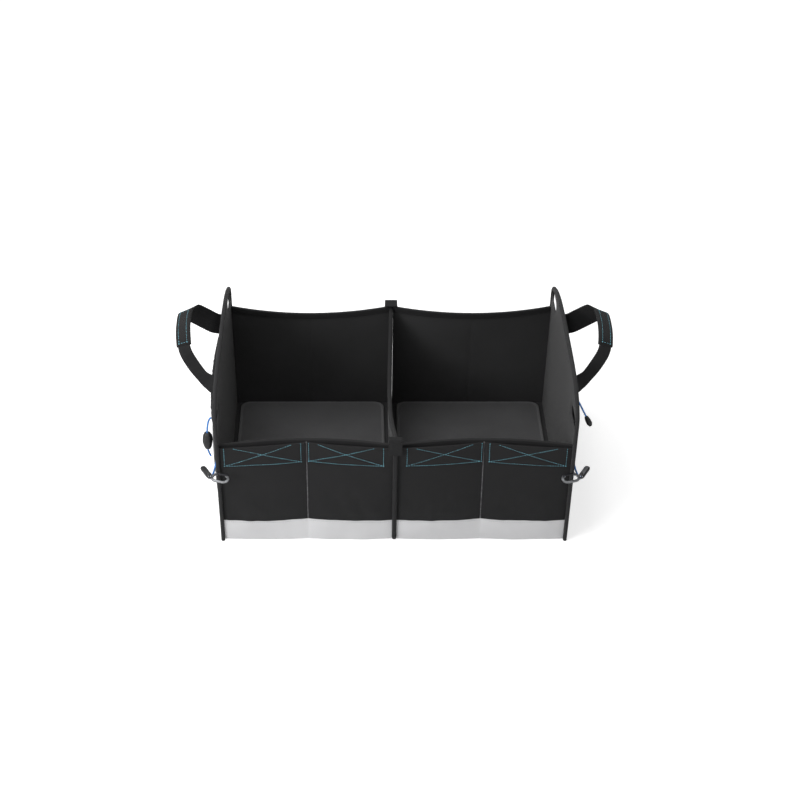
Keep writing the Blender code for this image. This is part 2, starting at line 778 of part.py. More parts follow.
def cord_exit(side):
    """Where a draw cord leaves its hem, just clear of the hem's outer facet."""
    radius = SIDE_HEM_DIAMETER / 2
    share = LEFT_EXIT_SHARE if side < 0 else RIGHT_EXIT_SHARE
    x = side_pocket_x(side, share, 1.0) + radius * (1 + math.cos(math.pi / 8)) + CLEAR * 2
    return Vector((x, side_pocket_y(share), hem_height()))


def right_cord_points():
    """Route of the right pocket's draw cord, out of the hem and down to its end."""
    start = cord_exit(1)
    route = []
    for out, front, down in ((0.0, 0.0, 0.0), (0.22, 0.05, 0.05), (0.60, 0.25, 0.50), (1.0, 0.45, 1.0)):
        shift = Vector((out * RIGHT_CORD_REACH, -front * RIGHT_CORD_REACH, -down * RIGHT_CORD_DROP))
        route.append(start + shift)
    return smooth_path(route, 3)


def lock_place():
    """Middle of the left cord lock's top."""
    z = hem_height() - LOCK_DROP
    v = (z - LOCK_HEIGHT / 2 - SIDE_POCKET_BASE) / (SIDE_POCKET_TOP - SIDE_POCKET_BASE)
    rear_share = LEFT_EXIT_SHARE + LOCK_WIDTH / 2 / (SIDE_POCKET_END - SIDE_POCKET_START)
    x = side_pocket_x(-1, rear_share, v) + POCKET_THICK + CLEAR + LOCK_DEPTH / 2
    return Vector((max(x, cord_exit(-1).x + LOCK_STAND_OFF), side_pocket_y(LEFT_EXIT_SHARE), z))


def left_cord_points():
    """Route of the left pocket's draw cord, out of the hem, down and through its lock."""
    start = cord_exit(-1)
    lock = lock_place()
    span = lock.x - start.x
    straight = CORD_DIAMETER * 1.5
    route = [start, start + Vector((span * 0.35, 0.0, -CORD_DIAMETER * 0.5)),
             start + Vector((span * 0.75, 0.0, -LOCK_DROP * 0.35)),
             Vector((lock.x, lock.y, lock.z + straight)), lock,
             Vector((lock.x, lock.y, lock.z - LOCK_HEIGHT)),
             Vector((lock.x, lock.y, lock.z - LOCK_HEIGHT - straight)),
             Vector((lock.x - LOCK_TAIL * 0.3, lock.y - LOCK_TAIL * 0.2, lock.z - LOCK_HEIGHT - LOCK_TAIL))]
    return smooth_path([Vector((-point.x, point.y, point.z)) for point in route], 3)


def turned(name, base, along, profile, finish):
    """Solid of revolution on a line; profile holds distance along it and radius."""
    turn = Vector((0, 0, 1)).rotation_difference(along).to_matrix()
    rings = []
    for far, radius in profile:
        ring = []
        for index in range(8):
            angle = math.pi * index / 4
            ring.append(base + turn @ Vector((radius * math.cos(angle), radius * math.sin(angle), far)))
        rings.append(ring)
    return loft(name, rings, finish)


def draw_cords(cord_finish, end_finish):
    right = right_cord_points()
    cord("right_draw_cord", right, CORD_DIAMETER, cord_finish)
    along = (right[-1] - right[-2]).normalized()
    full = CORD_END_DIAMETER / 2
    profile = [(0.0, 0.5), (0.14, 0.8), (0.45, 1.0), (0.77, 1.0), (1.0, 0.55)]
    profile = [(far * CORD_END_LENGTH, wide * full) for far, wide in profile]
    turned("right_cord_end", right[-1] + along * CLEAR, along, profile, end_finish)
    cord("left_draw_cord", left_cord_points(), CORD_DIAMETER, cord_finish)
    cord_lock(end_finish)


def cord_lock(finish):
    """Pinched block with a hole that the left draw cord runs through."""
    top = lock_place()
    top.x = -top.x
    rings = []
    for far, wide in ((0.0, 0.55), (0.2, 0.9), (0.5, 1.0), (0.8, 0.8), (1.0, 0.5)):
        half_x, half_y = LOCK_DEPTH / 2 * wide, LOCK_WIDTH / 2 * wide
        centre = top - Vector((0.0, 0.0, far * LOCK_HEIGHT))
        corners = [(-1, -0.5), (-0.5, -1), (0.5, -1), (1, -0.5), (1, 0.5), (0.5, 1), (-0.5, 1), (-1, 0.5)]
        rings.append([centre + Vector((half_x * a, half_y * b, 0.0)) for a, b in corners])
    lock = loft("left_cord_lock", rings, finish)
    radius = CORD_DIAMETER / 2 + CLEAR
    profile = [(-LOCK_HEIGHT * 1.5, radius), (LOCK_HEIGHT * 0.5, radius)]
    cut(lock, turned("lock_hole", top, Vector((0, 0, 1)), profile, finish))


# Corner hooks

def hook_side():
    """Distance of the hook's cord hole from the middle plane."""
    return side_x(HOOK_HEIGHT) + PANEL_THICK / 2 + HOOK_STAND_OFF


def hook_place(side):
    """Matrix from the hook's own plane (length, width, up) to the world at its cord hole."""
    origin = Vector((side * hook_side(), depth_y(HOOK_FRONT), HOOK_HEIGHT))
    tilt = Matrix.Rotation(HOOK_TILT, 4, "X")
    turn = Matrix.Rotation(-HOOK_TURN, 4, "Z")
    mirror = Matrix.Scale(-side, 4, Vector((1, 0, 0)))
    return Matrix.Translation(origin) @ mirror @ tilt @ turn


def hook_outline():
    """C-shaped outline with a bent tail; the mouth is on its outer long side."""
    half = RING_WIDTH / 2
    inner = half - RING_BAR
    near, far = RING_START + half, RING_END - half
    tail = HOOK_TAIL_WIDTH / 2
    line = arc((far, 0.0), half, 80, -90, 7)
    line += arc((near, 0.0), half, -90, -145, 3)
    bend = math.degrees(TAIL_BEND)
    line += arc((0.0, 0.0), tail, -90, -90 - bend, 2)
    run = HOOK_TAIL - tail
    tip = (-run * math.cos(TAIL_BEND), run * math.sin(TAIL_BEND))
    line += arc(tip, tail, -90 - bend, -270 - bend, 5)
    line += [(tail * math.sin(TAIL_BEND), tail * math.cos(TAIL_BEND))]
    line += arc((near, 0.0), half, -215, -262, 3)
    line += arc((near, 0.0), inner, -262, -90, 6)
    line += arc((far, 0.0), inner, -90, 80, 6)
    return line


def arc(centre, radius, start, end, count):
    angles = [math.radians(lerp(start, end, share)) for share in steps(count)]
    return [(centre[0] + radius * math.cos(a), centre[1] + radius * math.sin(a)) for a in angles]


def hook_gate_pivot():
    """Place of the gate's pin in the hook's own plane, near the middle of the ring's bar."""
    return RING_START + RING_WIDTH / 2 - PIVOT_BACK, RING_WIDTH / 2 - RING_BAR * 0.6


def round_ring(place, centre, radius, level, count):
    """Points of a circle in the hook's own plane, at a level above it."""
    ring = []
    for index in range(count):
        angle = 2 * math.pi * index / count
        spot = (centre[0] + radius * math.cos(angle), centre[1] + radius * math.sin(angle), level)
        ring.append(place @ Vector(spot))
    return ring


def hole_bar(place, centre, diameter, finish, count=12):
    """Round bar that cuts a hole through the hook or its gate."""
    reach = HOOK_PLATE * 4
    rings = [round_ring(place, centre, diameter / 2, level, count) for level in (-reach, reach)]
    return loft("hole_bar", rings, finish)


def flat_plate(name, place, outline, low, high, finish):
    sides = [[place @ Vector((x, y, level)) for x, y in outline] for level in (low, high)]
    return loft(name, sides, finish, smooth=False)


def hooks(metal, gate_finish, cord_finish, anchor_finish):
    half = HOOK_PLATE / 2
    pivot = hook_gate_pivot()
    far_end = (RING_END - RING_WIDTH / 2 + GATE_LAP, pivot[1])
    pin_room = PIN_DIAMETER + CLEAR * 2
    for side, word in SIDES:
        place = hook_place(side)
        frame = flat_plate(word + "_hook_frame", place, hook_outline(), -half, half, metal)
        cut(frame, hole_bar(place, (0.0, 0.0), CORD_HOLE, metal))
        cut(frame, hole_bar(place, pivot, pin_room, metal))
        wide = GATE_WIDTH / 2
        outline = arc(pivot, wide, 90, 270, 5) + arc(far_end, wide, -90, 90, 5)
        base = half + CLEAR
        gate = flat_plate(word + "_hook_gate", place, outline, base, base + GATE_THICK, gate_finish)
        cut(gate, hole_bar(place, pivot, pin_room, metal))
        gate_pin(word + "_gate_pin", place, pivot, metal)
        lanyard(word, side, cord_finish)
        lanyard_tab(word, side, anchor_finish)


def gate_pin(name, place, centre, finish):
    """Rivet through the hook and its gate, with a head at both ends."""
    low = -HOOK_PLATE / 2 - CLEAR
    high = HOOK_PLATE / 2 + CLEAR + GATE_THICK + CLEAR
    head = PIN_DIAMETER * 0.8
    rim = head * 0.8
    shank = PIN_DIAMETER / 2
    levels = [(low - PIN_HEAD, rim), (low, head), (low, shank)]
    levels += [(high, shank), (high, head), (high + PIN_HEAD, rim)]
    loft(name, [round_ring(place, centre, radius, level, 12) for level, radius in levels], finish)


def lanyard_hold():
    """Distance of the lanyard's middle from the middle plane, where its tab holds it."""
    return side_x(HOOK_HEIGHT) + PANEL_THICK / 2 + CLEAR + TAPE_THICK + CLEAR + LANYARD_DIAMETER / 2


def lanyard(word, side, finish):
    """Elastic cord with a knot on top of the hook, led down through its hole and back."""
    y = depth_y(HOOK_FRONT)
    knot = KNOT_DIAMETER / 2
    over = HOOK_HEIGHT + HOOK_PLATE / 2 + knot * math.tan(HOOK_TILT) + CLEAR * 2
    hold = lanyard_hold()
    end = depth_y(ANCHOR_DEPTH - ANCHOR_WIDTH / 2 - CLEAR)
    low = HOOK_HEIGHT - LANYARD_SAG
    hole = hook_side()
    route = [(hole, y, over + KNOT_DIAMETER / 8), (hole, y, HOOK_HEIGHT - LANYARD_SAG * 0.4),
             (lerp(hole, hold, 0.2), lerp(y, end, 0.12), low),
             (lerp(hole, hold, 0.7), lerp(y, end, 0.5), low + LANYARD_SAG * 0.15),
             (hold, lerp(y, end, 0.85), HOOK_HEIGHT - LANYARD_SAG * 0.15), (hold, end, HOOK_HEIGHT)]
    path = smooth_path([Vector((side * a, b, c)) for a, b, c in route], 3)
    made = cord(word + "_lanyard_line", path, LANYARD_DIAMETER, finish)
    profile = [(0.0, 0.5), (0.3, 0.95), (0.8, 1.0), (1.4, 0.6)]
    profile = [(far * knot, wide * knot) for far, wide in profile]
    ball = turned("knot", Vector((side * hole, y, over)), Vector((0, 0, 1)), profile, finish)
    solid = bpy.data.meshes.new_from_object(made.evaluated_get(bpy.context.evaluated_depsgraph_get()))
    bpy.data.objects.remove(made, do_unlink=True)
    plain = bpy.data.objects.new(word + "_lanyard", solid)
    bpy.context.scene.collection.objects.link(plain)
    apply_boolean(plain, ball, "UNION")


def lanyard_tab(word, side, finish):
    """Folded tab that holds the lanyard's end against the side panel."""
    skin = side_x(HOOK_HEIGHT) + PANEL_THICK / 2 + CLEAR
    outer = lanyard_hold() + LANYARD_DIAMETER / 2 + CLEAR
    low = HOOK_HEIGHT - ANCHOR_LENGTH * 0.6
    high = HOOK_HEIGHT + ANCHOR_LENGTH * 0.4
    slope = ANCHOR_LENGTH * 0.2
    lip = outer - TAPE_THICK
    line = [(skin, low), (lip, low), (outer + TAPE_THICK, low + slope), (outer + TAPE_THICK, high - slope),
            (lip, high), (skin, high)]
    sides = [[Vector((side * x, depth_y(ANCHOR_DEPTH + shift), z)) for x, z in line]
             for shift in (-ANCHOR_WIDTH / 2, ANCHOR_WIDTH / 2)]
    loft(word + "_lanyard_tab", sides, finish, smooth=False)


def build():
    clear_scene()
    shell = material("shell_fabric", (0.022, 0.022, 0.024), 0.85)
    lining = material("lining_fabric", (0.014, 0.014, 0.015), 0.9)
    floor = material("floor_fabric", (0.040, 0.040, 0.042), 0.9)
    tape = material("binding_tape", (0.032, 0.032, 0.034), 0.8)
    webbing = material("webbing", (0.020, 0.020, 0.022), 0.75)
    pale = material("pale_strip", (0.62, 0.62, 0.63), 0.7)
    pocket = material("pocket_cloth", (0.018, 0.018, 0.020), 0.9)
    blue = material("cord_blue", (0.10, 0.30, 0.62), 0.7)
    plastic = material("cord_end_plastic", (0.02, 0.02, 0.022), 0.5)
    metal = material("hook_metal", (0.55, 0.56, 0.58), 0.3, 1.0)
    gate = material("gate_metal", (0.03, 0.03, 0.03), 0.4, 0.5)
    bottom_panel(shell)
    side_panels(shell)
    panel_bindings(tape)
    divider(lining)
    divider_binding(tape)
    centre_tabs(webbing)
    wall_panels(lining)
    rim_bindings(tape)
    front_pockets(shell, shell)
    pale_strips(pale)
    crease_piping(tape)
    floor_boards(floor)
    handles(webbing, webbing)
    side_pockets(pocket, tape)
    draw_cords(blue, plastic)
    hooks(metal, gate, blue, webbing)


build()
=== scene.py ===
import math

import bmesh
import bpy
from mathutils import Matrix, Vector, noise


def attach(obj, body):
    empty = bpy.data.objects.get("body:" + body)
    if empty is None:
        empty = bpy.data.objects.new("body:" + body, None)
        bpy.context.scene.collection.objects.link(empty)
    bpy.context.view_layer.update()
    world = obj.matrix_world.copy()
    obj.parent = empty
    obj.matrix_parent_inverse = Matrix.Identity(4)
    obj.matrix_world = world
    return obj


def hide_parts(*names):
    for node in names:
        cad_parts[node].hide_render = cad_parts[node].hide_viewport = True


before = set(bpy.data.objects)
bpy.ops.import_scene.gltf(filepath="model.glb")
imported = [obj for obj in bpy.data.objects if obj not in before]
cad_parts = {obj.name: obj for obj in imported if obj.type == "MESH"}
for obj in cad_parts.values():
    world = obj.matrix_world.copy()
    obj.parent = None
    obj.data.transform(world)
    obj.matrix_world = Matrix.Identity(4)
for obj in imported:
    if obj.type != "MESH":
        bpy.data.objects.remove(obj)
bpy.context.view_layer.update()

# Driving sizes of the box, in metres, as the frame has them
WIDTH = 0.650
DEPTH = 0.480
SIDE_HEIGHT = 0.322
CORNER_HEIGHT = 0.280
FRONT_ARCH_POWER = 5.0
REAR_ARCH_POWER = 3.2
CORNER_ROUND = 0.016
FLARE = 0.006
FIN_REACH = 0.0145
CLEAR = 0.0003
PANEL_THICK = 0.0040
DIVIDER_THICK = 0.0050
WALL_THICK = 0.0035
BOTTOM_THICK = 0.0040
POCKET_THICK = 0.0022
TAPE_THICK = 0.0012
BINDING_DEPTH = 0.0085
RIM_TAPE_DEPTH = 0.0110
FRONT_RIM = 0.2130
BACK_RIM = 0.2400
FRONT_PULL = 0.0200
BACK_PULL = 0.0230
BACK_RIM_DIP = 0.0040
DIVIDER_FRONT = 0.2305
DIVIDER_BACK = 0.2435
DIVIDER_DIP = 0.0700
DIVIDER_BOW = 0.0060
BOW_HEIGHT = 0.1000
TAB_WIDTH = 0.0250
TAB_THICK = 0.0020
TAB_DROP = 0.0310
FRONT_TAB_RUN = 0.0120
BACK_TAB_RUN = 0.0260
MOUTH_DROP = 0.0030
POCKET_FULLNESS = 0.0090
POCKET_FULL_FROM = 0.0650
BAND_HEIGHT = 0.0400
STRIP_HEIGHT = 0.0450
STRIP_LIFT = 0.0010
PIPING_DIAMETER = 0.0026
BOARD_ROUND = 0.0200
BOARD_SIDE_GAP = 0.0090
BOARD_END_GAP = 0.0030
BOARD_EDGE_ROWS = 6
SLOT_LENGTH = 0.0640
SLOT_WIDTH = 0.0220
SLOT_INSET = 0.0160
FRONT_SLOT_DROP = 0.0280
REAR_SLOT_DROP = 0.0080
SLOT_HEM_THICK = 0.0018
SLOT_HEM_WIDTH = 0.0120
SIDE_POCKET_START = 0.0560
SIDE_POCKET_END = 0.4240
SIDE_POCKET_TOP = 0.2320
SIDE_POCKET_BASE = 0.0080
LEFT_POCKET_FULLNESS = 0.0220
RIGHT_POCKET_FULLNESS = 0.0100
SIDE_HEM_DIAMETER = 0.0070
STRAP_WIDTH = 0.0400
STRAP_THICK = 0.0024
GRIP_STRAP_WIDTH = 0.0240
GRIP_WIDTH = 0.0290
GRIP_THICK = 0.0090
GRIP_LENGTH = 0.1240
SEWN_HEIGHT = 0.2650
FRONT_SEWN = 0.0840
REAR_SEWN = 0.3960
HANDLE_REACH = 0.0680
HANDLE_RISE = 0.0760
GRIP_FORWARD = 0.0110
HANDLE_STEPS = 12
FRONT_FOLD = (2.3, 1.7)
REAR_FOLD = (0.17, 0.67)
CORD_DIAMETER = 0.0034
LEFT_EXIT_SHARE = 0.04
RIGHT_EXIT_SHARE = 0.2
RIGHT_CORD_REACH = 0.0200
RIGHT_CORD_DROP = 0.0300
LOCK_HEIGHT = 0.0360
LOCK_DEPTH = 0.0190
LOCK_WIDTH = 0.0160
LOCK_DROP = 0.0330
LOCK_STAND_OFF = 0.0090
LOCK_TAIL = 0.0160
HOOK_STAND_OFF = 0.0128
HOOK_FRONT = -0.0130
HOOK_HEIGHT = 0.1625
# Distance from the hook's hole past which the frame's top faces get painted dark reflection
PAINTED_REFLECTION_FROM = 0.0040
KNOT_REACH = 0.0080

# Values that follow
FRONT_Y = -DEPTH / 2
WALL_Y = DEPTH / 2 - FIN_REACH
PANEL_EDGE = PANEL_THICK / 2 + CLEAR + TAPE_THICK
DIVIDER_EDGE = DIVIDER_THICK / 2 + CLEAR + TAPE_THICK
EDGE_SEAT = CLEAR + TAPE_THICK
CREASE_SHARE = 0.006
LAST_SHARE = 0.99999     # just inside the end panel, so that the last pocket counts as one
WALL_BASE = BOTTOM_THICK + CLEAR
SIDES = ((-1, "left"), (1, "right"))
ENDS = ((-1, "front"), (1, "back"))

# Soft waves and folds that the cloth gets over the solids, in metres
WALL_SOFT = 0.0009
PANEL_SOFT = 0.0006
DIVIDER_SOFT = 0.0008
STRIP_SOFT = 0.0006
FOOT_FOLDS = 0.0024
SLANT_FOLDS = 0.0014
GATHERS = 0.0011
RIM_ROLL = 0.0016

# Stitches
STITCH_PITCH = 0.0046
STITCH_LENGTH = 0.0034
STITCH_THICK = 0.0007
FIRST_STITCH = 0.0030
STITCH_LIFT = 0.0001
FINE_PITCH = 0.0036
FINE_LENGTH = 0.0026
DARK_THICK = 0.0005
PALE_THICK = 0.0004
GRIP_SEAM = 0.0080
BINDING_SEAM = 0.0018
RIM_SEAM = 0.0022
STRIP_SEAM = 0.0030
STRAP_SEAM = 0.0040
STRAP_BOX = (0.0030, 0.0330)

# Camera, fitted to the photograph
CAMERA_LENS = 78.7
CAMERA_PLACE = Vector((-0.0800, -2.8459, 2.0853))
CAMERA_RISE = math.radians(34.06)
CAMERA_SHIFT = 0.06


# Shared shapes

def lerp(start, end, share):
    return start + (end - start) * share


def eased(share):
    """A share from 0 to 1 that starts and ends without a kink."""
    return share * share * (3 - 2 * share)


def steps(count):
    return [index / count for index in range(count + 1)]


def depth_y(depth):
    """World Y of a depth measured back from the front bound edge."""
    return FRONT_Y + depth


def side_x(z):
    return WIDTH / 2 + FLARE * z / SIDE_HEIGHT


def wall_shape(end):
    if end < 0:
        return FRONT_RIM, FRONT_PULL, 0.0
    return BACK_RIM, BACK_PULL, BACK_RIM_DIP


def wall_y(end, share, z):
    rim, pull, _ = wall_shape(end)
    return end * (WALL_Y - pull * (z / rim) * (1 - (2 * share - 1) ** 2))


def rim_height(end, share):
    rim, _, dip = wall_shape(end)
    return rim - dip * (1 - (2 * share - 1) ** 2)


def wall_x(share, z, inner, outer):
    return max(inner, min(side_x(z) - outer, share * side_x(z)))


def seam_x(share, z):
    """Distance from the middle at a share of a wall, kept clear of both bindings."""
    return wall_x(share, z, DIVIDER_EDGE + CLEAR, PANEL_EDGE + CLEAR)


def pocket_back(share, z):
    across = (2 * share) % 1.0
    spread = max(math.sin(math.pi * across), 0.0) ** 0.8
    grow = min(1.0, lerp(0.35, 1.0, z / POCKET_FULL_FROM))
    return wall_y(-1, share, z) - WALL_THICK / 2 - EDGE_SEAT - CLEAR - POCKET_FULLNESS * spread * grow


def divider_top(y):
    share = max(-1.0, min(1.0, y / (DEPTH / 2)))
    level = lerp(DIVIDER_FRONT, DIVIDER_BACK, (share + 1) / 2)
    return level - DIVIDER_DIP * (1 - share**2) ** 1.5


def divider_x(y, z):
    share = max(-1.0, min(1.0, y / (DEPTH / 2)))
    return -DIVIDER_BOW * (1 - share**2) ** 2 * max(0.0, min(1.0, z / BOW_HEIGHT))


def arch_height(share):
    power = FRONT_ARCH_POWER if share < 0 else REAR_ARCH_POWER
    return CORNER_HEIGHT + (SIDE_HEIGHT - CORNER_HEIGHT) * (1 - abs(share) ** power)


def ripple(point, size, seed=0.0):
    """Soft noise from -1 to 1 that changes over the given size."""
    return noise.noise(point / size + Vector((seed, seed * 0.7, -seed)))


# Mesh makers

def add_object(name, data):
    made = bpy.data.objects.new(name, data)
    bpy.context.scene.collection.objects.link(made)
    return made


def add_mesh(name, shape, finish, smooth_angle=40.0):
    bmesh.ops.recalc_face_normals(shape, faces=shape.faces)
    mesh = bpy.data.meshes.new(name)
    shape.to_mesh(mesh)
    shape.free()
    mesh.materials.append(finish)
    mesh.shade_smooth()
    mesh.set_sharp_from_angle(angle=math.radians(smooth_angle))
    return add_object(name, mesh)


def lengths_along(points):
    """Distance of each point from the first one, along the line."""
    found = [0.0]
    for a, b in zip(points, points[1:]):
        found.append(found[-1] + (b - a).length)
    return found


def sheet_mesh(name, across, up, face, finish):
    """Closed sheet; face(u, v, side) gives its two skins, and the UV map holds metres."""
    shape = bmesh.new()
    layer = shape.loops.layers.uv.new("UVMap")
    places = {}
    grids = [[[shape.verts.new(face(u, v, side)) for v in up] for u in across] for side in (0, 1)]
    near = grids[0]
    lengths_u = lengths_along([column[len(up) // 2].co for column in near])
    lengths_v = lengths_along([vert.co for vert in near[len(across) // 2]])
    for grid in grids:
        for i, column in enumerate(grid):
            for j, vert in enumerate(column):
                places[vert] = (lengths_u[i], lengths_v[j])
    faces = []
    for grid in grids:
        for i in range(len(across) - 1):
            for j in range(len(up) - 1):
                near_pair, far_pair = grid[i][j:j + 2], grid[i + 1][j:j + 2]
                faces.append(shape.faces.new((near_pair[0], far_pair[0], far_pair[1], near_pair[1])))
    border = [(i, 0) for i in range(len(across))]
    border += [(len(across) - 1, j) for j in range(1, len(up))]
    border += [(i, len(up) - 1) for i in range(len(across) - 2, -1, -1)]
    border += [(0, j) for j in range(len(up) - 2, 0, -1)]
    for (a, b), (c, d) in zip(border, border[1:] + border[:1]):
        faces.append(shape.faces.new((near[a][b], near[c][d], grids[1][c][d], grids[1][a][b])))
    for made in faces:
        for loop in made.loops:
            loop[layer].uv = places[loop.vert]
    return add_mesh(name, shape, finish)


def loft_mesh(name, rings, finish, closed_ends=True, smooth_angle=40.0):
    """Closed solid through rings; the UV map holds metres along and around."""
    shape = bmesh.new()
    layer = shape.loops.layers.uv.new("UVMap")
    loops = [[shape.verts.new(point) for point in ring] for ring in rings]
    size = len(loops[0])
    along = lengths_along([ring[0] for ring in rings])
    middle = list(rings[len(rings) // 2])
    around = lengths_along(middle + middle[:1])
    for row, (near, far) in enumerate(zip(loops, loops[1:])):
        for index in range(size):
            after = (index + 1) % size
            made = shape.faces.new((near[index], near[after], far[after], far[index]))
            spots = ((along[row], around[index]), (along[row], around[index + 1]),
                     (along[row + 1], around[index + 1]), (along[row + 1], around[index]))
            for loop, spot in zip(made.loops, spots):
                loop[layer].uv = spot
    if closed_ends:
        shape.faces.new(list(reversed(loops[0])))
        shape.faces.new(loops[-1])
    return add_mesh(name, shape, finish, smooth_angle)


def smooth_path(points, per_span):
    whole = [points[0] * 2 - points[1]] + list(points) + [points[-1] * 2 - points[-2]]
    path = []
    for a, b, c, d in zip(whole, whole[1:], whole[2:], whole[3:]):
        for index in range(per_span):
            t = index / per_span
            path.append(0.5 * (2 * b + (c - a) * t + (2 * a - 5 * b + 4 * c - d) * t**2
                               + (3 * b - a - 3 * c + d) * t**3))
    path.append(points[-1].copy())
    return path


def stand_for(piece, body, slot, *nodes):
    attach(piece, body)
    if nodes:
        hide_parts(*nodes)
    return piece


def bevelled_copy(node, width, finish):
    """Copy of a CAD solid with merged corners and softened edges."""
    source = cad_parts[node]
    shape = bmesh.new()
    shape.from_mesh(source.data)
    shape.transform(source.matrix_world)
    bmesh.ops.remove_doubles(shape, verts=shape.verts, dist=0.00001)
    bmesh.ops.dissolve_limit(shape, angle_limit=math.radians(2.0), verts=shape.verts, edges=shape.edges)
    edges = [edge for edge in shape.edges if edge.is_manifold and edge.calc_face_angle() > math.radians(35)]
    bmesh.ops.bevel(shape, geom=edges, offset=width, segments=2, profile=0.5, affect="EDGES",
                    clamp_overlap=True)
    return add_mesh("dressed_" + node, shape, finish, 50.0)


# Finishes

def feed(node, values):
    """Gives a node's inputs their values, or links them to the output of another node."""
    for name, value in values.items():
        if isinstance(value, bpy.types.NodeSocket):
            node.id_data.links.new(value, node.inputs[name])
        else:
            node.inputs[name].default_value = value
    return node


class Finish:
    """A material and the small helpers that fill its nodes."""

    def __init__(self, name, colour, roughness, metallic=0.0):
        self.material = bpy.data.materials.new(name)
        self.material.use_nodes = True
        self.nodes = self.material.node_tree.nodes
        self.place = self.nodes.new("ShaderNodeTexCoord")
        self.tune({"Base Color": (*colour, 1.0), "Roughness": roughness, "Metallic": metallic})

    def add(self, kind, values):
        return feed(self.nodes.new("ShaderNode" + kind), values)

    def tune(self, values):
        feed(self.nodes["Principled BSDF"], values)

    def clouds(self, scale, detail=2.0):
        given = {"Scale": scale, "Detail": detail, "Vector": self.place.outputs["Object"]}
        return self.add("TexNoise", given).outputs["Fac"]

    def bands(self, direction, pitch, source="UV"):
        """Soft ridges that repeat at a pitch in metres."""
        size = 0.314159 / pitch
        spots = self.add("Mapping", {"Scale": (size, size, size), "Vector": self.place.outputs[source]})
        texture = self.add("TexWave", {"Scale": 1.0, "Distortion": 0.0, "Vector": spots.outputs["Vector"]})
        texture.bands_direction = direction
        return texture.outputs["Fac"]

    def blend(self, kind, first, second):
        node = self.add("Math", {0: first, 1: second})
        node.operation = kind
        return node.outputs[0]

    def add_up(self, first, first_share, second, second_share):
        parts = [part if share == 1.0 else self.blend("MULTIPLY", part, share)
                 for part, share in ((first, first_share), (second, second_share))]
        return self.blend("ADD", *parts)

    def colour_from(self, fac, low, high, colour, darkest, lightest):
        """Shades of a colour, from the darkest share at low to the lightest at high."""
        ramp = self.add("ValToRGB", {"Fac": fac})
        stops = ((low, scaled(colour, darkest)), (high, scaled(colour, lightest)))
        for element, (position, shade) in zip(ramp.color_ramp.elements, stops):
            element.position = position
            element.color = (*shade, 1.0)
        self.tune({"Base Color": ramp.outputs["Color"]})

    def roughness_from(self, fac, low, high):
        spread = self.add("MapRange", {"To Min": low, "To Max": high, "Value": fac})
        self.tune({"Roughness": spread.outputs["Result"]})

    def bump_from(self, height, distance, strength):
        bump = self.add("Bump", {"Distance": distance, "Strength": strength, "Height": height})
        self.tune({"Normal": bump.outputs["Normal"]})


def scaled(colour, factor):
    return tuple(min(1.0, value * factor) for value in colour)


def woven_cloth(name, colour, pitch, sheen=0.15, roughness=0.82, source="UV"):
    """Plain weave: crossing threads, fine fuzz and slow changes of shade."""
    cloth = Finish(name, colour, roughness)
    weave = cloth.blend("MULTIPLY", cloth.bands("X", pitch, source), cloth.bands("Y", pitch, source))
    slow = cloth.clouds(9.0, 3.0)
    cloth.bump_from(cloth.add_up(weave, 1.0, cloth.clouds(900.0, 3.0), 0.35), pitch * 0.25, 0.7)
    cloth.colour_from(cloth.add_up(weave, 0.35, slow, 0.65), 0.2, 0.8, colour, 0.72, 1.35)
    cloth.roughness_from(slow, roughness - 0.08, min(1.0, roughness + 0.08))
    cloth.tune({"Sheen Weight": sheen, "Sheen Roughness": 0.5, "Specular IOR Level": 0.35})
    return cloth.material


def ribbed_tape(name, colour, pitch, sheen):
    """Webbing or binding tape: ribs across its length and fine threads along it."""
    tape = Finish(name, colour, 0.78)
    ribs = tape.bands("X", pitch)
    slow = tape.clouds(25.0, 3.0)
    tape.bump_from(tape.add_up(ribs, 1.0, tape.bands("Y", pitch * 1.6), 0.6), pitch * 0.22, 0.8)
    tape.colour_from(tape.add_up(ribs, 0.5, slow, 0.5), 0.2, 0.8, colour, 0.65, 1.4)
    tape.roughness_from(slow, 0.70, 0.86)
    tape.tune({"Sheen Weight": sheen, "Specular IOR Level": 0.35})
    return tape.material


def coated_cloth(name, colour):
    """Pale strip: smooth coated cloth with a faint weave and slow waves."""
    cloth = Finish(name, colour, 0.5)
    weave = cloth.blend("MULTIPLY", cloth.bands("X", 0.0011), cloth.bands("Y", 0.0011))
    slow = cloth.clouds(14.0, 4.0)
    cloth.bump_from(cloth.add_up(weave, 0.25, slow, 1.0), 0.0006, 0.6)
    cloth.colour_from(slow, 0.25, 0.75, colour, 0.93, 1.05)
    cloth.roughness_from(slow, 0.42, 0.6)
    return cloth.material


def braided_cord(name, colour, roughness=0.65):
    cord = Finish(name, colour, roughness)
    cord.bump_from(cord.clouds(1100.0), 0.0004, 0.9)
    cord.colour_from(cord.clouds(420.0, 1.0), 0.35, 0.65, colour, 0.55, 1.5)
    cord.tune({"Sheen Weight": 0.2})
    return cord.material


def moulded_plastic(name, colour):
    plastic = Finish(name, colour, 0.45)
    grain = plastic.clouds(1500.0)
    plastic.bump_from(grain, 0.0001, 0.5)
    plastic.colour_from(plastic.clouds(60.0), 0.3, 0.7, colour, 0.8, 1.3)
    plastic.roughness_from(grain, 0.38, 0.55)
    return plastic.material


def satin_metal(name, colour, roughness):
    metal = Finish(name, colour, roughness, 1.0)
    brushed = metal.clouds(240.0, 4.0)
    metal.bump_from(brushed, 0.00008, 0.4)
    metal.colour_from(metal.clouds(30.0), 0.3, 0.7, colour, 0.85, 1.08)
    metal.roughness_from(brushed, roughness - 0.06, roughness + 0.10)
    return metal.material


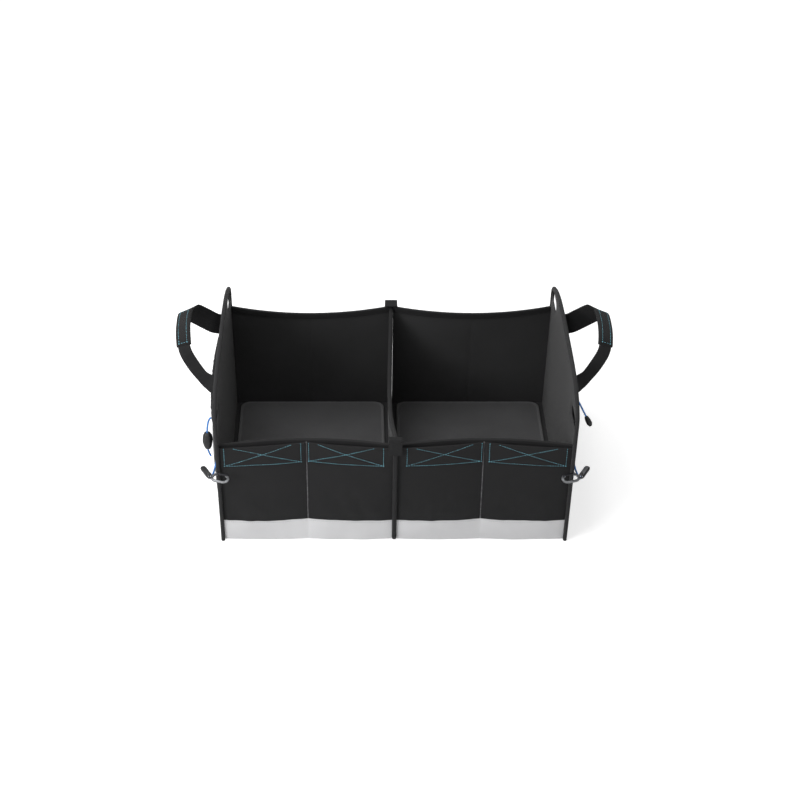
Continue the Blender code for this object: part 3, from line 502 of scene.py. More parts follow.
SHELL = woven_cloth("shell_cloth", (0.0070, 0.0070, 0.0077), 0.0011, sheen=0.06)
LINING = woven_cloth("lining_cloth", (0.0290, 0.0290, 0.0300), 0.0010, sheen=0.15)
PANEL_LINING = woven_cloth("panel_cloth", (0.0150, 0.0150, 0.0158), 0.0010, sheen=0.12, roughness=0.72)
FLOOR_CLOTH = woven_cloth("floor_cloth", (0.0640, 0.0640, 0.0660), 0.0014, sheen=0.2)
BOARD_EDGE = woven_cloth("board_piping", (0.0950, 0.0950, 0.0970), 0.0011, sheen=0.2)
POCKET_CLOTH = woven_cloth("side_pocket_cloth", (0.0120, 0.0120, 0.0130), 0.0016)
TAPE = ribbed_tape("binding_tape", (0.0150, 0.0150, 0.0160), 0.0011, sheen=0.06)
RIM_TAPE = ribbed_tape("rim_tape", (0.0090, 0.0090, 0.0097), 0.0011, sheen=0.06)
WEBBING = ribbed_tape("webbing", (0.0060, 0.0060, 0.0067), 0.0015, sheen=0.04)
PALE = coated_cloth("pale_strip", (0.62, 0.62, 0.63))
THREAD_BLUE = braided_cord("thread_blue", (0.19, 0.54, 0.67), 0.6)
THREAD_DARK = braided_cord("thread_dark", (0.018, 0.018, 0.019), 0.8)
# Pale grey thread: on the crease piping its light grey is painted highlight along the fold, on the strip
# stitches it is the thread's own colour
PALE_THREAD_AND_CREASE_HIGHLIGHT = braided_cord("pale_thread_and_crease_highlight", (0.10, 0.10, 0.105), 0.7)
BLUE = braided_cord("cord_blue", (0.05, 0.22, 0.62))
BLACK_PLASTIC = moulded_plastic("black_plastic", (0.012, 0.012, 0.013))
DARK_CORD = braided_cord("knot_black", (0.012, 0.012, 0.013))
METAL = satin_metal("hook_aluminium", (0.24, 0.245, 0.255), 0.38)
DARK_METAL = satin_metal("gate_steel", (0.055, 0.055, 0.06), 0.4)


# Walls

def wall_surface(end, side, low, high, thick, rough):
    """Skins of one wall quarter, with soft waves in the cloth over its board."""
    inner, outer = DIVIDER_EDGE + CLEAR, PANEL_THICK / 2 + CLEAR

    def face(u, v, skin):
        share = lerp(low, high, u)
        z = lerp(WALL_BASE, rim_height(end, share), v)
        x = wall_x(share, z, inner, outer)
        groove = 1.0 - 0.45 * math.exp(-((share - 0.5) / CREASE_SHARE) ** 2)
        y = wall_y(end, x / side_x(z), z) + groove * (thick if skin else -thick)
        point = Vector((side * x, y, z))
        fade = min(1.0, 8 * u * (1 - u)) * min(1.0, 6 * v * (1 - v))
        point.y += rough * fade * ripple(point, 0.06, end * 2.0 + side)
        return point
    return face


def make_walls():
    lap = CREASE_SHARE * 0.05
    for end, end_word in ENDS:
        for side, word in SIDES:
            for place, low, high in (("inner", 0.0, 0.5 + lap), ("outer", 0.5 - lap, 1.0)):
                node = "_".join((end_word, word, place, "wall"))
                face = wall_surface(end, side, low, high, WALL_THICK / 2, WALL_SOFT)
                across = [share ** 0.8 if place == "outer" else 1 - (1 - share) ** 0.8 for share in steps(40)]
                piece = sheet_mesh(node + "_cloth", across, steps(34), face, LINING)
                stand_for(piece, "root", "lining_fabric", node)


def rim_section(edge, seat, top, low, roll):
    """Rounded U over a wall's top edge, as steps across and heights."""
    points = []
    for index in range(9):
        angle = math.pi * index / 8
        points.append((-edge * math.cos(angle), top + EDGE_SEAT - roll + roll * math.sin(angle)))
    inside = [(seat, low), (seat, top + CLEAR), (-seat, top + CLEAR), (-seat, low)]
    return [(-edge, low)] + points + [(edge, low)] + inside


def make_rim_bindings():
    seat = WALL_THICK / 2 + CLEAR
    edge = seat + TAPE_THICK
    for end, end_word in ENDS:
        for side, word in SIDES:
            rings = []
            for share in steps(64):
                top = rim_height(end, share)
                ring = []
                for across, z in rim_section(edge, seat, top, top - RIM_TAPE_DEPTH, RIM_ROLL):
                    x = seam_x(share, z)
                    puff = 1.0 + 0.05 * ripple(Vector((x, 0, z)), 0.012, end + side)
                    ring.append(Vector((side * x, wall_y(end, x / side_x(z), z) + across * puff, z)))
                rings.append(ring)
            node = end_word + "_" + word + "_rim_binding"
            piece = loft_mesh(node + "_tape", rings, RIM_TAPE)
            stand_for(piece, "root", "binding_tape", node)


# Front pockets

def pocket_folds(share, z, side):
    """Small folds of a slack pocket: along its foot, and slanting in from its seams."""
    across = (2 * share) % 1.0
    fade = math.sin(math.pi * across) ** 0.6 * min(1.0, (FRONT_RIM - z) / 0.02)
    low = math.exp(-((z - 0.075) / 0.045) ** 2)
    spot = Vector((share * 0.33 * side, 0.0, z))
    folds = FOOT_FOLDS * low * ripple(Vector((spot.x * 1.4, 0, spot.z * 0.7)), 0.028, 3.0 + side)
    slant = SLANT_FOLDS * ripple(Vector((spot.x + 0.5 * z, 0, z - 0.3 * spot.x)), 0.05, 7.0 * side)
    return max(0.0, fade) * (folds + slant)


def front_point(side, share, z, lift):
    """Place on the front that stands a lift off the pocket's back, with the cloth's folds."""
    x = seam_x(share, z)
    return Vector((side * x, pocket_back(x / side_x(z), z) - lift - pocket_folds(share, z, side), z))


def front_surface(side, span, heights, offset, thick):
    def face(u, v, skin):
        return front_point(side, lerp(*span, u), lerp(*heights, v), offset + (thick if skin else 0.0))
    return face


def quarter_spans():
    seam = (PIPING_DIAMETER / 2 + CLEAR) / (WIDTH / 2)
    return (("inner", 0.0, 0.5 - seam), ("outer", 0.5 + seam, LAST_SHARE))


def make_front_pockets():
    mouth = FRONT_RIM - MOUTH_DROP
    for side, word in SIDES:
        for place, low, high in quarter_spans():
            tail = word + "_" + place
            face = front_surface(side, (low, high), (WALL_BASE, mouth), 0.0, POCKET_THICK)
            piece = sheet_mesh("pocket_cloth_" + tail, steps(40), steps(48), face, SHELL)
            stand_for(piece, "root", "shell_fabric", "front_pocket_" + tail)
            heights = (mouth - BAND_HEIGHT, mouth)
            face = front_surface(side, (low, high), heights, POCKET_THICK + CLEAR, TAPE_THICK)
            piece = sheet_mesh("band_cloth_" + tail, steps(40), steps(12), face, SHELL)
            stand_for(piece, "root", "shell_fabric", "stitched_band_" + tail)


def make_pale_strips():
    for side, word in SIDES:
        heights = (STRIP_LIFT, STRIP_HEIGHT)
        base = front_surface(side, (0.0, LAST_SHARE), heights, POCKET_THICK + CLEAR, TAPE_THICK)

        def face(u, v, skin):
            point = base(u, v, skin)
            point.y -= STRIP_SOFT * max(0.0, ripple(Vector((point.x, 0, point.z * 0.4)), 0.03, 11.0)) * skin
            return point
        piece = sheet_mesh(word + "_pale_cloth", steps(90), steps(12), face, PALE)
        stand_for(piece, "root", "pale_strip", word + "_pale_strip")


# The piping along each front crease takes the pale grey thread finish as painted highlight: its light grey
# stands for the highlight along the fold
def make_crease_piping():
    radius = PIPING_DIAMETER / 2
    for side, word in SIDES:
        rings = []
        for share in steps(30):
            z = lerp(STRIP_HEIGHT + CLEAR, FRONT_RIM - MOUTH_DROP, share)
            x = side * seam_x(0.5, z)
            y = wall_y(-1, 0.5, z) - WALL_THICK / 2 - EDGE_SEAT - CLEAR - POCKET_THICK / 2
            ring = [Vector((x + radius * math.cos(a), y + radius * math.sin(a), z))
                    for a in (math.pi * k / 6 for k in range(12))]
            rings.append(ring)
        piece = loft_mesh(word + "_piping_cord", rings, PALE_THREAD_AND_CREASE_HIGHLIGHT)
        stand_for(piece, "root", "binding_tape", word + "_crease_piping")


# Side panels and bindings

def rounded(start, corner, end, count=6):
    points = []
    for index in range(1, count):
        t = index / count
        y = (1 - t) ** 2 * start[0] + 2 * t * (1 - t) * corner[0] + t**2 * end[0]
        z = (1 - t) ** 2 * start[1] + 2 * t * (1 - t) * corner[1] + t**2 * end[1]
        points.append((y, z))
    return points


def panel_outline():
    half = DEPTH / 2
    arch = [(half * s, arch_height(s)) for s in (lerp(-0.92, 0.92, share) for share in steps(92))]
    low = CORNER_HEIGHT - CORNER_ROUND
    line = [(-half, low * share) for share in steps(12)]
    line += rounded((-half, low), (-half, CORNER_HEIGHT), arch[0])
    line += arch
    line += rounded(arch[-1], (half, CORNER_HEIGHT), (half, low))
    return line + [(half, low * (1 - share)) for share in steps(12)]


def inward_steps(path):
    found = []
    for index in range(len(path)):
        runs = []
        for a, b in ((index - 1, index), (index, index + 1)):
            if a >= 0 and b < len(path):
                dy, dz = path[b][0] - path[a][0], path[b][1] - path[a][1]
                size = math.hypot(dy, dz)
                runs.append((dz / size, -dy / size))
        ny = sum(run[0] for run in runs) / len(runs)
        nz = sum(run[1] for run in runs) / len(runs)
        square = ny * ny + nz * nz
        found.append((ny / square, nz / square))
    return found


def inset_path(path, distance):
    return [(y + n[0] * distance, z + n[1] * distance) for (y, z), n in zip(path, inward_steps(path))]


def slot_middle(end):
    height = CORNER_HEIGHT - (FRONT_SLOT_DROP if end < 0 else REAR_SLOT_DROP)
    return end * (DEPTH / 2 - SLOT_INSET - SLOT_LENGTH / 2), height


def slot_cutter(side, end):
    radius = SLOT_WIDTH / 2
    run = SLOT_LENGTH - SLOT_WIDTH
    centre, height = slot_middle(end)
    ring = []
    for index in range(36):
        angle = 2 * math.pi * (index + 0.5) / 36
        shift = math.copysign(run / 2, math.cos(angle))
        ring.append((centre + shift + radius * math.cos(angle), height + radius * math.sin(angle)))
    rings = [[Vector((side * WIDTH / 2 + shift, y, z)) for y, z in ring] for shift in (-0.02, 0.02)]
    return loft_mesh("slot_cutter", rings, PANEL_LINING)


def panel_half(y, z):
    """Half the panel's thickness, which thins to a pressed hem round its slots."""
    share = 1.0
    for end in (-1, 1):
        centre, height = slot_middle(end)
        along = max(0.0, abs(y - centre) - (SLOT_LENGTH - SLOT_WIDTH) / 2)
        gap = math.hypot(along, z - height) - SLOT_WIDTH / 2
        share = min(share, max(0.0, (gap - SLOT_HEM_WIDTH * 0.3) / SLOT_HEM_WIDTH))
    return lerp(SLOT_HEM_THICK / 2, PANEL_THICK / 2, eased(share))


def cut(target, cutter):
    change = target.modifiers.new("Boolean", "BOOLEAN")
    change.operation = "DIFFERENCE"
    change.object = cutter
    change.solver = "EXACT"
    evaluated = target.evaluated_get(bpy.context.evaluated_depsgraph_get())
    mesh = bpy.data.meshes.new_from_object(evaluated)
    target.modifiers.remove(change)
    target.data = mesh
    bpy.data.objects.remove(cutter, do_unlink=True)


def make_side_panels():
    half = DEPTH / 2 - EDGE_SEAT
    low = CORNER_HEIGHT - CORNER_ROUND
    tops = [spot for spot in inset_path(panel_outline(), EDGE_SEAT)
            if spot[1] > low - EDGE_SEAT and abs(spot[0]) < half - 0.0005]
    tops = [(-half, low)] + tops + [(half, low)]
    for side, word in SIDES:

        def face(index, v, skin):
            y, top = tops[index]
            z = top * v
            point = Vector((side * side_x(z), y, z))
            middle = max(0.0, 1 - (y / half) ** 4) * min(1.0, 8 * v * (1 - v))
            half_thick = panel_half(y, z)
            wave = 1 + 0.8 * ripple(point, 0.09, side * 3.0)
            soft = PANEL_SOFT * middle * wave * half_thick / PANEL_THICK * 2
            point.x += side * ((-half_thick - soft) if skin == 0 else (half_thick - 0.0001))
            return point
        piece = sheet_mesh(word + "_panel_cloth", range(len(tops)), steps(90), face, PANEL_LINING)
        for end in (-1, 1):
            cut(piece, slot_cutter(side, end))
        stand_for(piece, "root", "shell_fabric", word + "_side_panel")


def binding_section(half_thick):
    """Rounded U, as steps across the sheet and depths from the edge."""
    seat = half_thick + CLEAR
    outer = seat + TAPE_THICK
    nose = min(outer, 0.0030)
    points = [(-outer, BINDING_DEPTH)]
    for index in range(9):
        angle = math.pi * index / 8
        points.append((-outer * math.cos(angle), nose * (1 - math.sin(angle))))
    points += [(outer, BINDING_DEPTH), (seat, BINDING_DEPTH), (seat, TAPE_THICK), (-seat, TAPE_THICK),
               (-seat, BINDING_DEPTH)]
    return points


def bind_edge(name, path, half_thick, place, finish, seed):
    rings = []
    for (y, z), inward in zip(path, inward_steps(path)):
        ring = []
        for across, deep in binding_section(half_thick):
            spot = (y + inward[0] * deep, z + inward[1] * deep)
            puff = 1.0 + 0.04 * ripple(Vector((0, y, z)), 0.014, seed)
            ring.append(Vector((place(*spot) + across * puff, *spot)))
        rings.append(ring)
    return loft_mesh(name, rings, finish)


def make_panel_bindings():
    for side, word in SIDES:
        piece = bind_edge(word + "_panel_tape", panel_outline(), PANEL_THICK / 2,
                          lambda y, z: side * side_x(z), TAPE, side * 5.0)
        stand_for(piece, "root", "binding_tape", word + "_panel_binding")


# Centre divider

def divider_path():
    half = DEPTH / 2
    front, back = divider_top(-half) + EDGE_SEAT, divider_top(half) + EDGE_SEAT
    line = [(-half, lerp(WALL_BASE, front - 0.010, share)) for share in steps(10)] + [(-half, front)]
    for share in (lerp(-0.955, 0.955, part) for part in steps(44)):
        line.append((half * share, divider_top(half * share) + EDGE_SEAT))
    return line + [(half, back)] + [(half, lerp(back - 0.010, WALL_BASE, share)) for share in steps(10)]


def make_divider():
    crest = inset_path(divider_path(), EDGE_SEAT)[11:-11]

    def face(index, v, skin):
        y, top = crest[index]
        z = lerp(WALL_BASE, top, v)
        wave = DIVIDER_SOFT * min(1.0, 6 * v * (1 - v)) * ripple(Vector((0, y, z)), 0.08, 2.0)
        return Vector((divider_x(y, z) + (DIVIDER_THICK / 2 if skin else -DIVIDER_THICK / 2) + wave, y, z))
    piece = sheet_mesh("divider_cloth", range(len(crest)), steps(24), face, LINING)
    stand_for(piece, "root", "lining_fabric", "centre_divider")
    piece = bind_edge("divider_tape", divider_path(), DIVIDER_THICK / 2, divider_x, RIM_TAPE, 9.0)
    stand_for(piece, "root", "binding_tape", "divider_binding")


def make_centre_tabs():
    for end, word, top in ((-1, "front", DIVIDER_FRONT), (1, "back", DIVIDER_BACK)):
        low = top + EDGE_SEAT + CLEAR
        near = DEPTH / 2 + CLEAR
        middle = [(near + TAB_THICK / 2, lerp(low - TAB_DROP, low - 0.003, share)) for share in steps(8)]
        for index in range(1, 6):
            angle = math.pi / 2 * index / 6
            middle.append((near + TAB_THICK / 2 - 0.003 * (1 - math.cos(angle)),
                           low + TAB_THICK / 2 - 0.003 * (1 - math.sin(angle))))
        run = FRONT_TAB_RUN if end < 0 else BACK_TAB_RUN
        middle += [(lerp(near - 0.003, near - run, share), low + TAB_THICK / 2) for share in steps(8)]

        def face(u, index, skin):
            y, z = middle[index]
            before, after = middle[max(index - 1, 0)], middle[min(index + 1, len(middle) - 1)]
            size = math.hypot(after[0] - before[0], after[1] - before[1])
            out = ((after[1] - before[1]) / size, -(after[0] - before[0]) / size)
            edge = TAB_THICK / 2 * (1 - 0.5 * abs(2 * u - 1) ** 8)
            shift = edge if skin else -edge
            across = lerp(-TAB_WIDTH / 2, TAB_WIDTH / 2, u)
            return Vector((across, end * (y + out[0] * shift), z + out[1] * shift))
        piece = sheet_mesh(word + "_tab_webbing", steps(12), range(len(middle)), face, WEBBING)
        stand_for(piece, "root", "webbing", word + "_centre_tab")


# Floor boards

def make_floor_boards():
    near = DIVIDER_EDGE + BOARD_SIDE_GAP
    far = WIDTH / 2 - PANEL_THICK / 2 - BOARD_SIDE_GAP
    half_x = (far - near) / 2
    half_y = WALL_Y - WALL_THICK / 2 - BOARD_END_GAP
    for side, word in SIDES:
        outline = []
        for cx, cy, start in ((1, 1, 0), (-1, 1, 90), (-1, -1, 180), (1, -1, 270)):
            for index in range(10):
                angle = math.radians(start + 10 * index)
                outline.append((cx * (half_x - BOARD_ROUND) + BOARD_ROUND * math.cos(angle),
                                cy * (half_y - BOARD_ROUND) + BOARD_ROUND * math.sin(angle)))
        rings = []
        levels = [(0.0, 0.0020), (0.0008, 0.0006), (0.0025, 0.0), (0.0042, 0.0006), (0.0050, 0.0022),
                  (0.0046, 0.0042), (0.0044, 0.0060), (0.0046, 0.0400), (0.0047, 0.0900), (0.0047, 0.1400)]
        for up, inset in levels:
            ring = []
            for x, y in outline:
                spot_x = side * ((near + far) / 2 + x * (1 - inset / half_x))
                spot_y = y * (1 - inset / half_y)
                wave = 0.0004 * ripple(Vector((spot_x, spot_y, 0)), 0.07, side) if inset > 0.005 else 0.0
                ring.append(Vector((spot_x, spot_y, WALL_BASE + up + wave)))
            rings.append(ring)
        piece = loft_mesh(word + "_board_cloth", rings, FLOOR_CLOTH, smooth_angle=75.0)
        piece.data.materials.append(BOARD_EDGE)
        for made in piece.data.polygons:
            if made.index < BOARD_EDGE_ROWS * len(outline):
                made.material_index = 1
        stand_for(piece, "root", "floor_fabric", word + "_floor_board")


# Handles

def handle_stations(side):
    """Middle points and width directions along a handle's strap, front sewn end first.

    Each row holds shares of the handle's reach, of its length and of its rise, and a width direction.
    """
    skin = side_x(SEWN_HEIGHT) + PANEL_THICK / 2 + CLEAR + STRAP_THICK / 2
    rows = [
        (0.0, 0.0, 0.0, (0.0, 0.0, 1.0)),
        (0.009, 0.128, 0.0, (0.0, 0.0, 1.0)),
        (0.18, 0.167, 0.066, (-0.2, 0.0, 1.0)),
        (0.42, 0.186, 0.237, (-0.5, 0.1, 0.8)),
        (0.66, 0.212, 0.50, (-0.7, 0.3, 0.6)),
        (0.86, 0.244, 0.79, (-0.9, 0.2, 0.45)),
        (0.93, 0.308, 0.97, (-1.0, 0.0, 0.35)),
        (0.99, 0.47, 1.0, (-1.0, 0.0, 0.35)),
        (0.985, 0.667, 0.90, (-1.0, 0.0, 0.4)),
        (0.80, 0.744, 0.658, (-0.6, 0.3, 0.75)),
        (0.50, 0.782, 0.395, (-0.3, 0.3, 0.9)),
        (0.22, 0.808, 0.184, (-0.1, 0.2, 1.0)),
        (0.009, 0.865, 0.053, (0.0, 0.0, 1.0)),
        (0.0, 1.0, 0.0, (0.0, 0.0, 1.0)),
    ]
    points = []
    for out, back, up, _ in rows:
        depth = lerp(FRONT_SEWN, REAR_SEWN, back)
        points.append(Vector((skin + HANDLE_REACH * out, depth_y(depth), SEWN_HEIGHT + HANDLE_RISE * up)))
    points = smooth_path(points, HANDLE_STEPS)
    lean = FLARE / SIDE_HEIGHT
    widths = [Vector((wide[0] + lean, wide[1], wide[2])).normalized() for _, _, _, wide in rows]
    widths = smooth_path(widths, HANDLE_STEPS)
    for point in points:
        point.x = max(point.x, skin + lean * (point.z - SEWN_HEIGHT))
    for vector in points + widths:
        vector.x *= side
    return points, widths


def ribbon_frames(points, widths):
    """Point, width direction and face direction at each station of a ribbon."""
    frames = []
    for index, point in enumerate(points):
        before = points[max(index - 1, 0)]
        after = points[min(index + 1, len(points) - 1)]
        along = (after - before).normalized()
        across = (widths[index] - along * widths[index].dot(along)).normalized()
        frames.append((point, across, along.cross(across)))
    return frames


def ribbon_mesh(name, frames, size_at, finish, square=0.25):
    """Flat band with rounded edges; size_at gives its width and thickness at a station."""
    rings = []
    for index, (point, across, face) in enumerate(frames):
        wide, thick = size_at(index)
        ring = []
        for part in range(20):
            angle = 2 * math.pi * (part + 0.5) / 20
            c, s = math.cos(angle), math.sin(angle)
            ring.append(point + across * math.copysign(abs(c) ** square, c) * wide / 2
                        + face * math.copysign(abs(s) ** 0.6, s) * thick / 2)
        rings.append(ring)
    return loft_mesh(name, rings, finish, smooth_angle=60.0)


def grip_span(points):
    """First and last index of the stations that the grip covers."""
    middle = depth_y((FRONT_SEWN + REAR_SEWN) / 2 - GRIP_FORWARD)
    low = SEWN_HEIGHT + HANDLE_RISE / 2
    inside = [i for i, p in enumerate(points) if abs(p.y - middle) <= GRIP_LENGTH / 2 and p.z > low]
    return inside[0], inside[-1]


def make_handles():
    for side, word in SIDES:
        points, widths = handle_stations(side)
        first, last = grip_span(points)
        frames = ribbon_frames(points, widths)

        def spread(index):
            """Share by which the folded strap has opened to its full width."""
            start, run = FRONT_FOLD if index < first else REAR_FOLD
            rows_away = max(first - index, index - last, 0) / HANDLE_STEPS
            return eased(min(1.0, max(0.0, (rows_away - start) / run)))

        def strap_size(index):
            share = spread(index)
            return lerp(GRIP_STRAP_WIDTH, STRAP_WIDTH, share), lerp(STRAP_THICK * 1.6, STRAP_THICK, share)

        def grip_size(index):
            share = index / (last - first)
            full = 1 - 0.5 * max(0.0, abs(2 * share - 1) - 0.9) / 0.1
            return GRIP_WIDTH, GRIP_THICK * full
        piece = ribbon_mesh(word + "_strap_webbing", frames, strap_size, WEBBING)
        stand_for(piece, "root", "webbing", word + "_handle_strap")
        piece = ribbon_mesh(word + "_grip_webbing", frames[first:last + 1], grip_size, WEBBING, 0.45)
        stand_for(piece, "root", "webbing", word + "_handle_grip")


# Side pockets

def side_pocket_x(side, u, v):
    z = lerp(SIDE_POCKET_BASE, SIDE_POCKET_TOP, v)
    fullness = LEFT_POCKET_FULLNESS if side < 0 else RIGHT_POCKET_FULLNESS
    spread = max(math.sin(math.pi * u), 0.0) ** 0.7
    rise = 0.55 + 0.45 * math.sin(math.pi * min(1.0, v * 0.85 + 0.15))
    return side_x(z) + PANEL_THICK / 2 + CLEAR + fullness * spread * rise


def side_pocket_y(u):
    return depth_y(lerp(SIDE_POCKET_START, SIDE_POCKET_END, u))


def gathers(u, v, side):
    """Small folds that the elastic hem draws into a side pocket."""
    fade = min(1.0, 12 * u * (1 - u)) * max(0.0, v) ** 2
    return GATHERS * fade * ripple(Vector((u * 0.37, 0.03 * v, 0)), 0.009, side * 6.0)


def make_side_pockets():
    radius = SIDE_HEM_DIAMETER / 2
    for side, word in SIDES:

        def face(u, v, skin):
            y = side_pocket_y(u)
            z = lerp(SIDE_POCKET_BASE, SIDE_POCKET_TOP, v)
            out = side_pocket_x(side, u, v) + gathers(u, v, side) + (POCKET_THICK if skin else 0.0)
            return Vector((side * out, y, z))
        piece = sheet_mesh(word + "_side_pocket_cloth", steps(90), steps(28), face, POCKET_CLOTH)
        stand_for(piece, "root", "pocket_cloth", word + "_side_pocket")
        rings = []
        for u in steps(140):
            centre_x = side_pocket_x(side, u, 1.0) + radius + gathers(u, 1.0, side)
            y = side_pocket_y(u)
            puff = 1.0 + 0.10 * ripple(Vector((u * 0.37, 0, 0)), 0.007, side * 2.0)
            rings.append([Vector((side * (centre_x + radius * puff * math.cos(a)), y,
                                  SIDE_POCKET_TOP + CLEAR + radius * (0.93 + puff * math.sin(a))))
                          for a in (math.pi * k / 7 for k in range(14))])
        piece = loft_mesh(word + "_hem_cloth", rings, TAPE, smooth_angle=70.0)
        stand_for(piece, "root", "binding_tape", word + "_pocket_hem")


# Draw cords

def hem_height():
    return SIDE_POCKET_TOP + CLEAR + SIDE_HEM_DIAMETER / 2 * math.cos(math.pi / 8)


def cord_exit(side):
    radius = SIDE_HEM_DIAMETER / 2
    share = LEFT_EXIT_SHARE if side < 0 else RIGHT_EXIT_SHARE
    x = side_pocket_x(side, share, 1.0) + radius * (1 + math.cos(math.pi / 8)) + CLEAR * 2
    return Vector((x, side_pocket_y(share), hem_height()))


def right_cord_points():
    start = cord_exit(1)
    route = []
    for out, front, down in ((0.0, 0.0, 0.0), (0.22, 0.05, 0.05), (0.60, 0.25, 0.50), (1.0, 0.45, 1.0)):
        shift = Vector((out * RIGHT_CORD_REACH, -front * RIGHT_CORD_REACH, -down * RIGHT_CORD_DROP))
        route.append(start + shift)
    return smooth_path(route, 3)


def lock_place():
    z = hem_height() - LOCK_DROP
    v = (z - LOCK_HEIGHT / 2 - SIDE_POCKET_BASE) / (SIDE_POCKET_TOP - SIDE_POCKET_BASE)
    rear_share = LEFT_EXIT_SHARE + LOCK_WIDTH / 2 / (SIDE_POCKET_END - SIDE_POCKET_START)
    x = side_pocket_x(-1, rear_share, v) + POCKET_THICK + CLEAR + LOCK_DEPTH / 2
    return Vector((max(x, cord_exit(-1).x + LOCK_STAND_OFF), side_pocket_y(LEFT_EXIT_SHARE), z))


def left_cord_points():
    start = cord_exit(-1)
    lock = lock_place()
    span = lock.x - start.x
    straight = CORD_DIAMETER * 1.5
    route = [start, start + Vector((span * 0.35, 0.0, -CORD_DIAMETER * 0.5)),
             start + Vector((span * 0.75, 0.0, -LOCK_DROP * 0.35)),
             Vector((lock.x, lock.y, lock.z + straight)), lock,
             Vector((lock.x, lock.y, lock.z - LOCK_HEIGHT)),
             Vector((lock.x, lock.y, lock.z - LOCK_HEIGHT - straight)),
             Vector((lock.x - LOCK_TAIL * 0.3, lock.y - LOCK_TAIL * 0.2, lock.z - LOCK_HEIGHT - LOCK_TAIL))]
    return smooth_path([Vector((-point.x, point.y, point.z)) for point in route], 3)


def line_curve(name, lines):
    """Curve through each line of points."""
    data = bpy.data.curves.new(name, "CURVE")
    data.dimensions = "3D"
    for points in lines:
        spline = data.splines.new("POLY")
        spline.points.add(len(points) - 1)
        for spot, point in zip(spline.points, points):
            spot.co = (*point, 1.0)
    return data


def cord_curve(name, points, diameter, finish):
    data = line_curve(name, [points])
    data.bevel_depth = diameter / 2
    data.bevel_resolution = 4
    data.use_fill_caps = True
    data.materials.append(finish)
    return add_object(name, data)


def make_draw_cords():
    for word, points, end, width, far_end in (
            ("right", right_cord_points(), "right_cord_end", 0.0006, "fitting"),
            ("left", left_cord_points(), "left_cord_lock", 0.0009, "bare")):
        tip = bevelled_copy(end, width, BLACK_PLASTIC)
        stand_for(tip, "root", "cord_end_plastic", end)
        piece = cord_curve(word + "_pocket_cord", points, CORD_DIAMETER, BLUE)
        stand_for(piece, "root", "cord_blue", word + "_draw_cord")


# Corner hooks and lanyards

def paint_faces(piece, finish, chosen):
    """Gives a second finish to the faces whose middle and normal are chosen."""
    piece.data.materials.append(finish)
    for made in piece.data.polygons:
        if chosen(made.center, made.normal):
            made.material_index = len(piece.data.materials) - 1


def make_hooks():
    for side, word in SIDES:
        body = "hook_" + word
        out = side_x(HOOK_HEIGHT) + PANEL_THICK / 2 + HOOK_STAND_OFF
        hole = Vector((side * out, depth_y(HOOK_FRONT), HOOK_HEIGHT))
        frame_piece = bevelled_copy(word + "_hook_frame", 0.0005, METAL)
        # Painted dark reflection: the frame's upward faces beyond a set distance from the hole take the black
        # plastic finish, standing for the dark that the top of the hook's metal tail reflects
        paint_faces(frame_piece, BLACK_PLASTIC,
                    lambda spot, up: up.z > 0.6 and side * (spot.x - hole.x) > PAINTED_REFLECTION_FROM)
        stand_for(frame_piece, body, "hook_metal", word + "_hook_frame")
        stand_for(bevelled_copy(word + "_gate_pin", 0.00025, METAL), body, "hook_metal", word + "_gate_pin")
        gate = bevelled_copy(word + "_hook_gate", 0.0003, DARK_METAL)
        stand_for(gate, "gate_" + word, "gate_metal", word + "_hook_gate")
        tab = bevelled_copy(word + "_lanyard_tab", 0.0008, WEBBING)
        stand_for(tab, "root", "webbing", word + "_lanyard_tab")
        line = bevelled_copy(word + "_lanyard", 0.0004, BLUE)
        paint_faces(line, DARK_CORD,
                    lambda spot, up: spot.z > hole.z + 0.001 and (spot.xy - hole.xy).length < KNOT_REACH)
        stand_for(line, "root", "cord_blue", word + "_lanyard")


# Stitches

def stitch_maker():
    """Node tool: short rounded stitches at a pitch along every line of a curve."""
    tool = bpy.data.node_groups.new("stitch_run", "GeometryNodeTree")
    for word, way, kind in (("Lines", "INPUT", "Geometry"), ("Pitch", "INPUT", "Float"),
                            ("Length", "INPUT", "Float"), ("Thickness", "INPUT", "Float"),
                            ("Finish", "INPUT", "Material"), ("Stitches", "OUTPUT", "Geometry")):
        tool.interface.new_socket(word, in_out=way, socket_type="NodeSocket" + kind)

    def add(kind, values):
        return feed(tool.nodes.new(kind), values).outputs
    given = add("NodeGroupInput", {})
    resample = tool.nodes.new("GeometryNodeResampleCurve")
    resample.mode = "LENGTH"
    feed(resample, {"Curve": given["Lines"], "Length": given["Pitch"]})
    bead = add("GeometryNodeMeshUVSphere", {"Segments": 6, "Rings": 4, "Radius": 0.5})
    turn = tool.nodes.new("FunctionNodeAlignRotationToVector")
    turn.axis = "X"
    feed(turn, {"Vector": add("GeometryNodeInputTangent", {})["Tangent"]})
    thick = given["Thickness"]
    size = add("ShaderNodeCombineXYZ", {"X": given["Length"], "Y": thick, "Z": thick})
    place = add("GeometryNodeInstanceOnPoints", {
        "Points": resample.outputs["Curve"], "Instance": bead["Mesh"],
        "Rotation": turn.outputs["Rotation"], "Scale": size["Vector"]})
    real = add("GeometryNodeRealizeInstances", {"Geometry": place["Instances"]})
    smooth = add("GeometryNodeSetShadeSmooth", {"Geometry": real["Geometry"]})
    paint = add("GeometryNodeSetMaterial", {"Geometry": smooth["Geometry"], "Material": given["Finish"]})
    add("NodeGroupOutput", {"Stitches": paint["Geometry"]})
    return tool


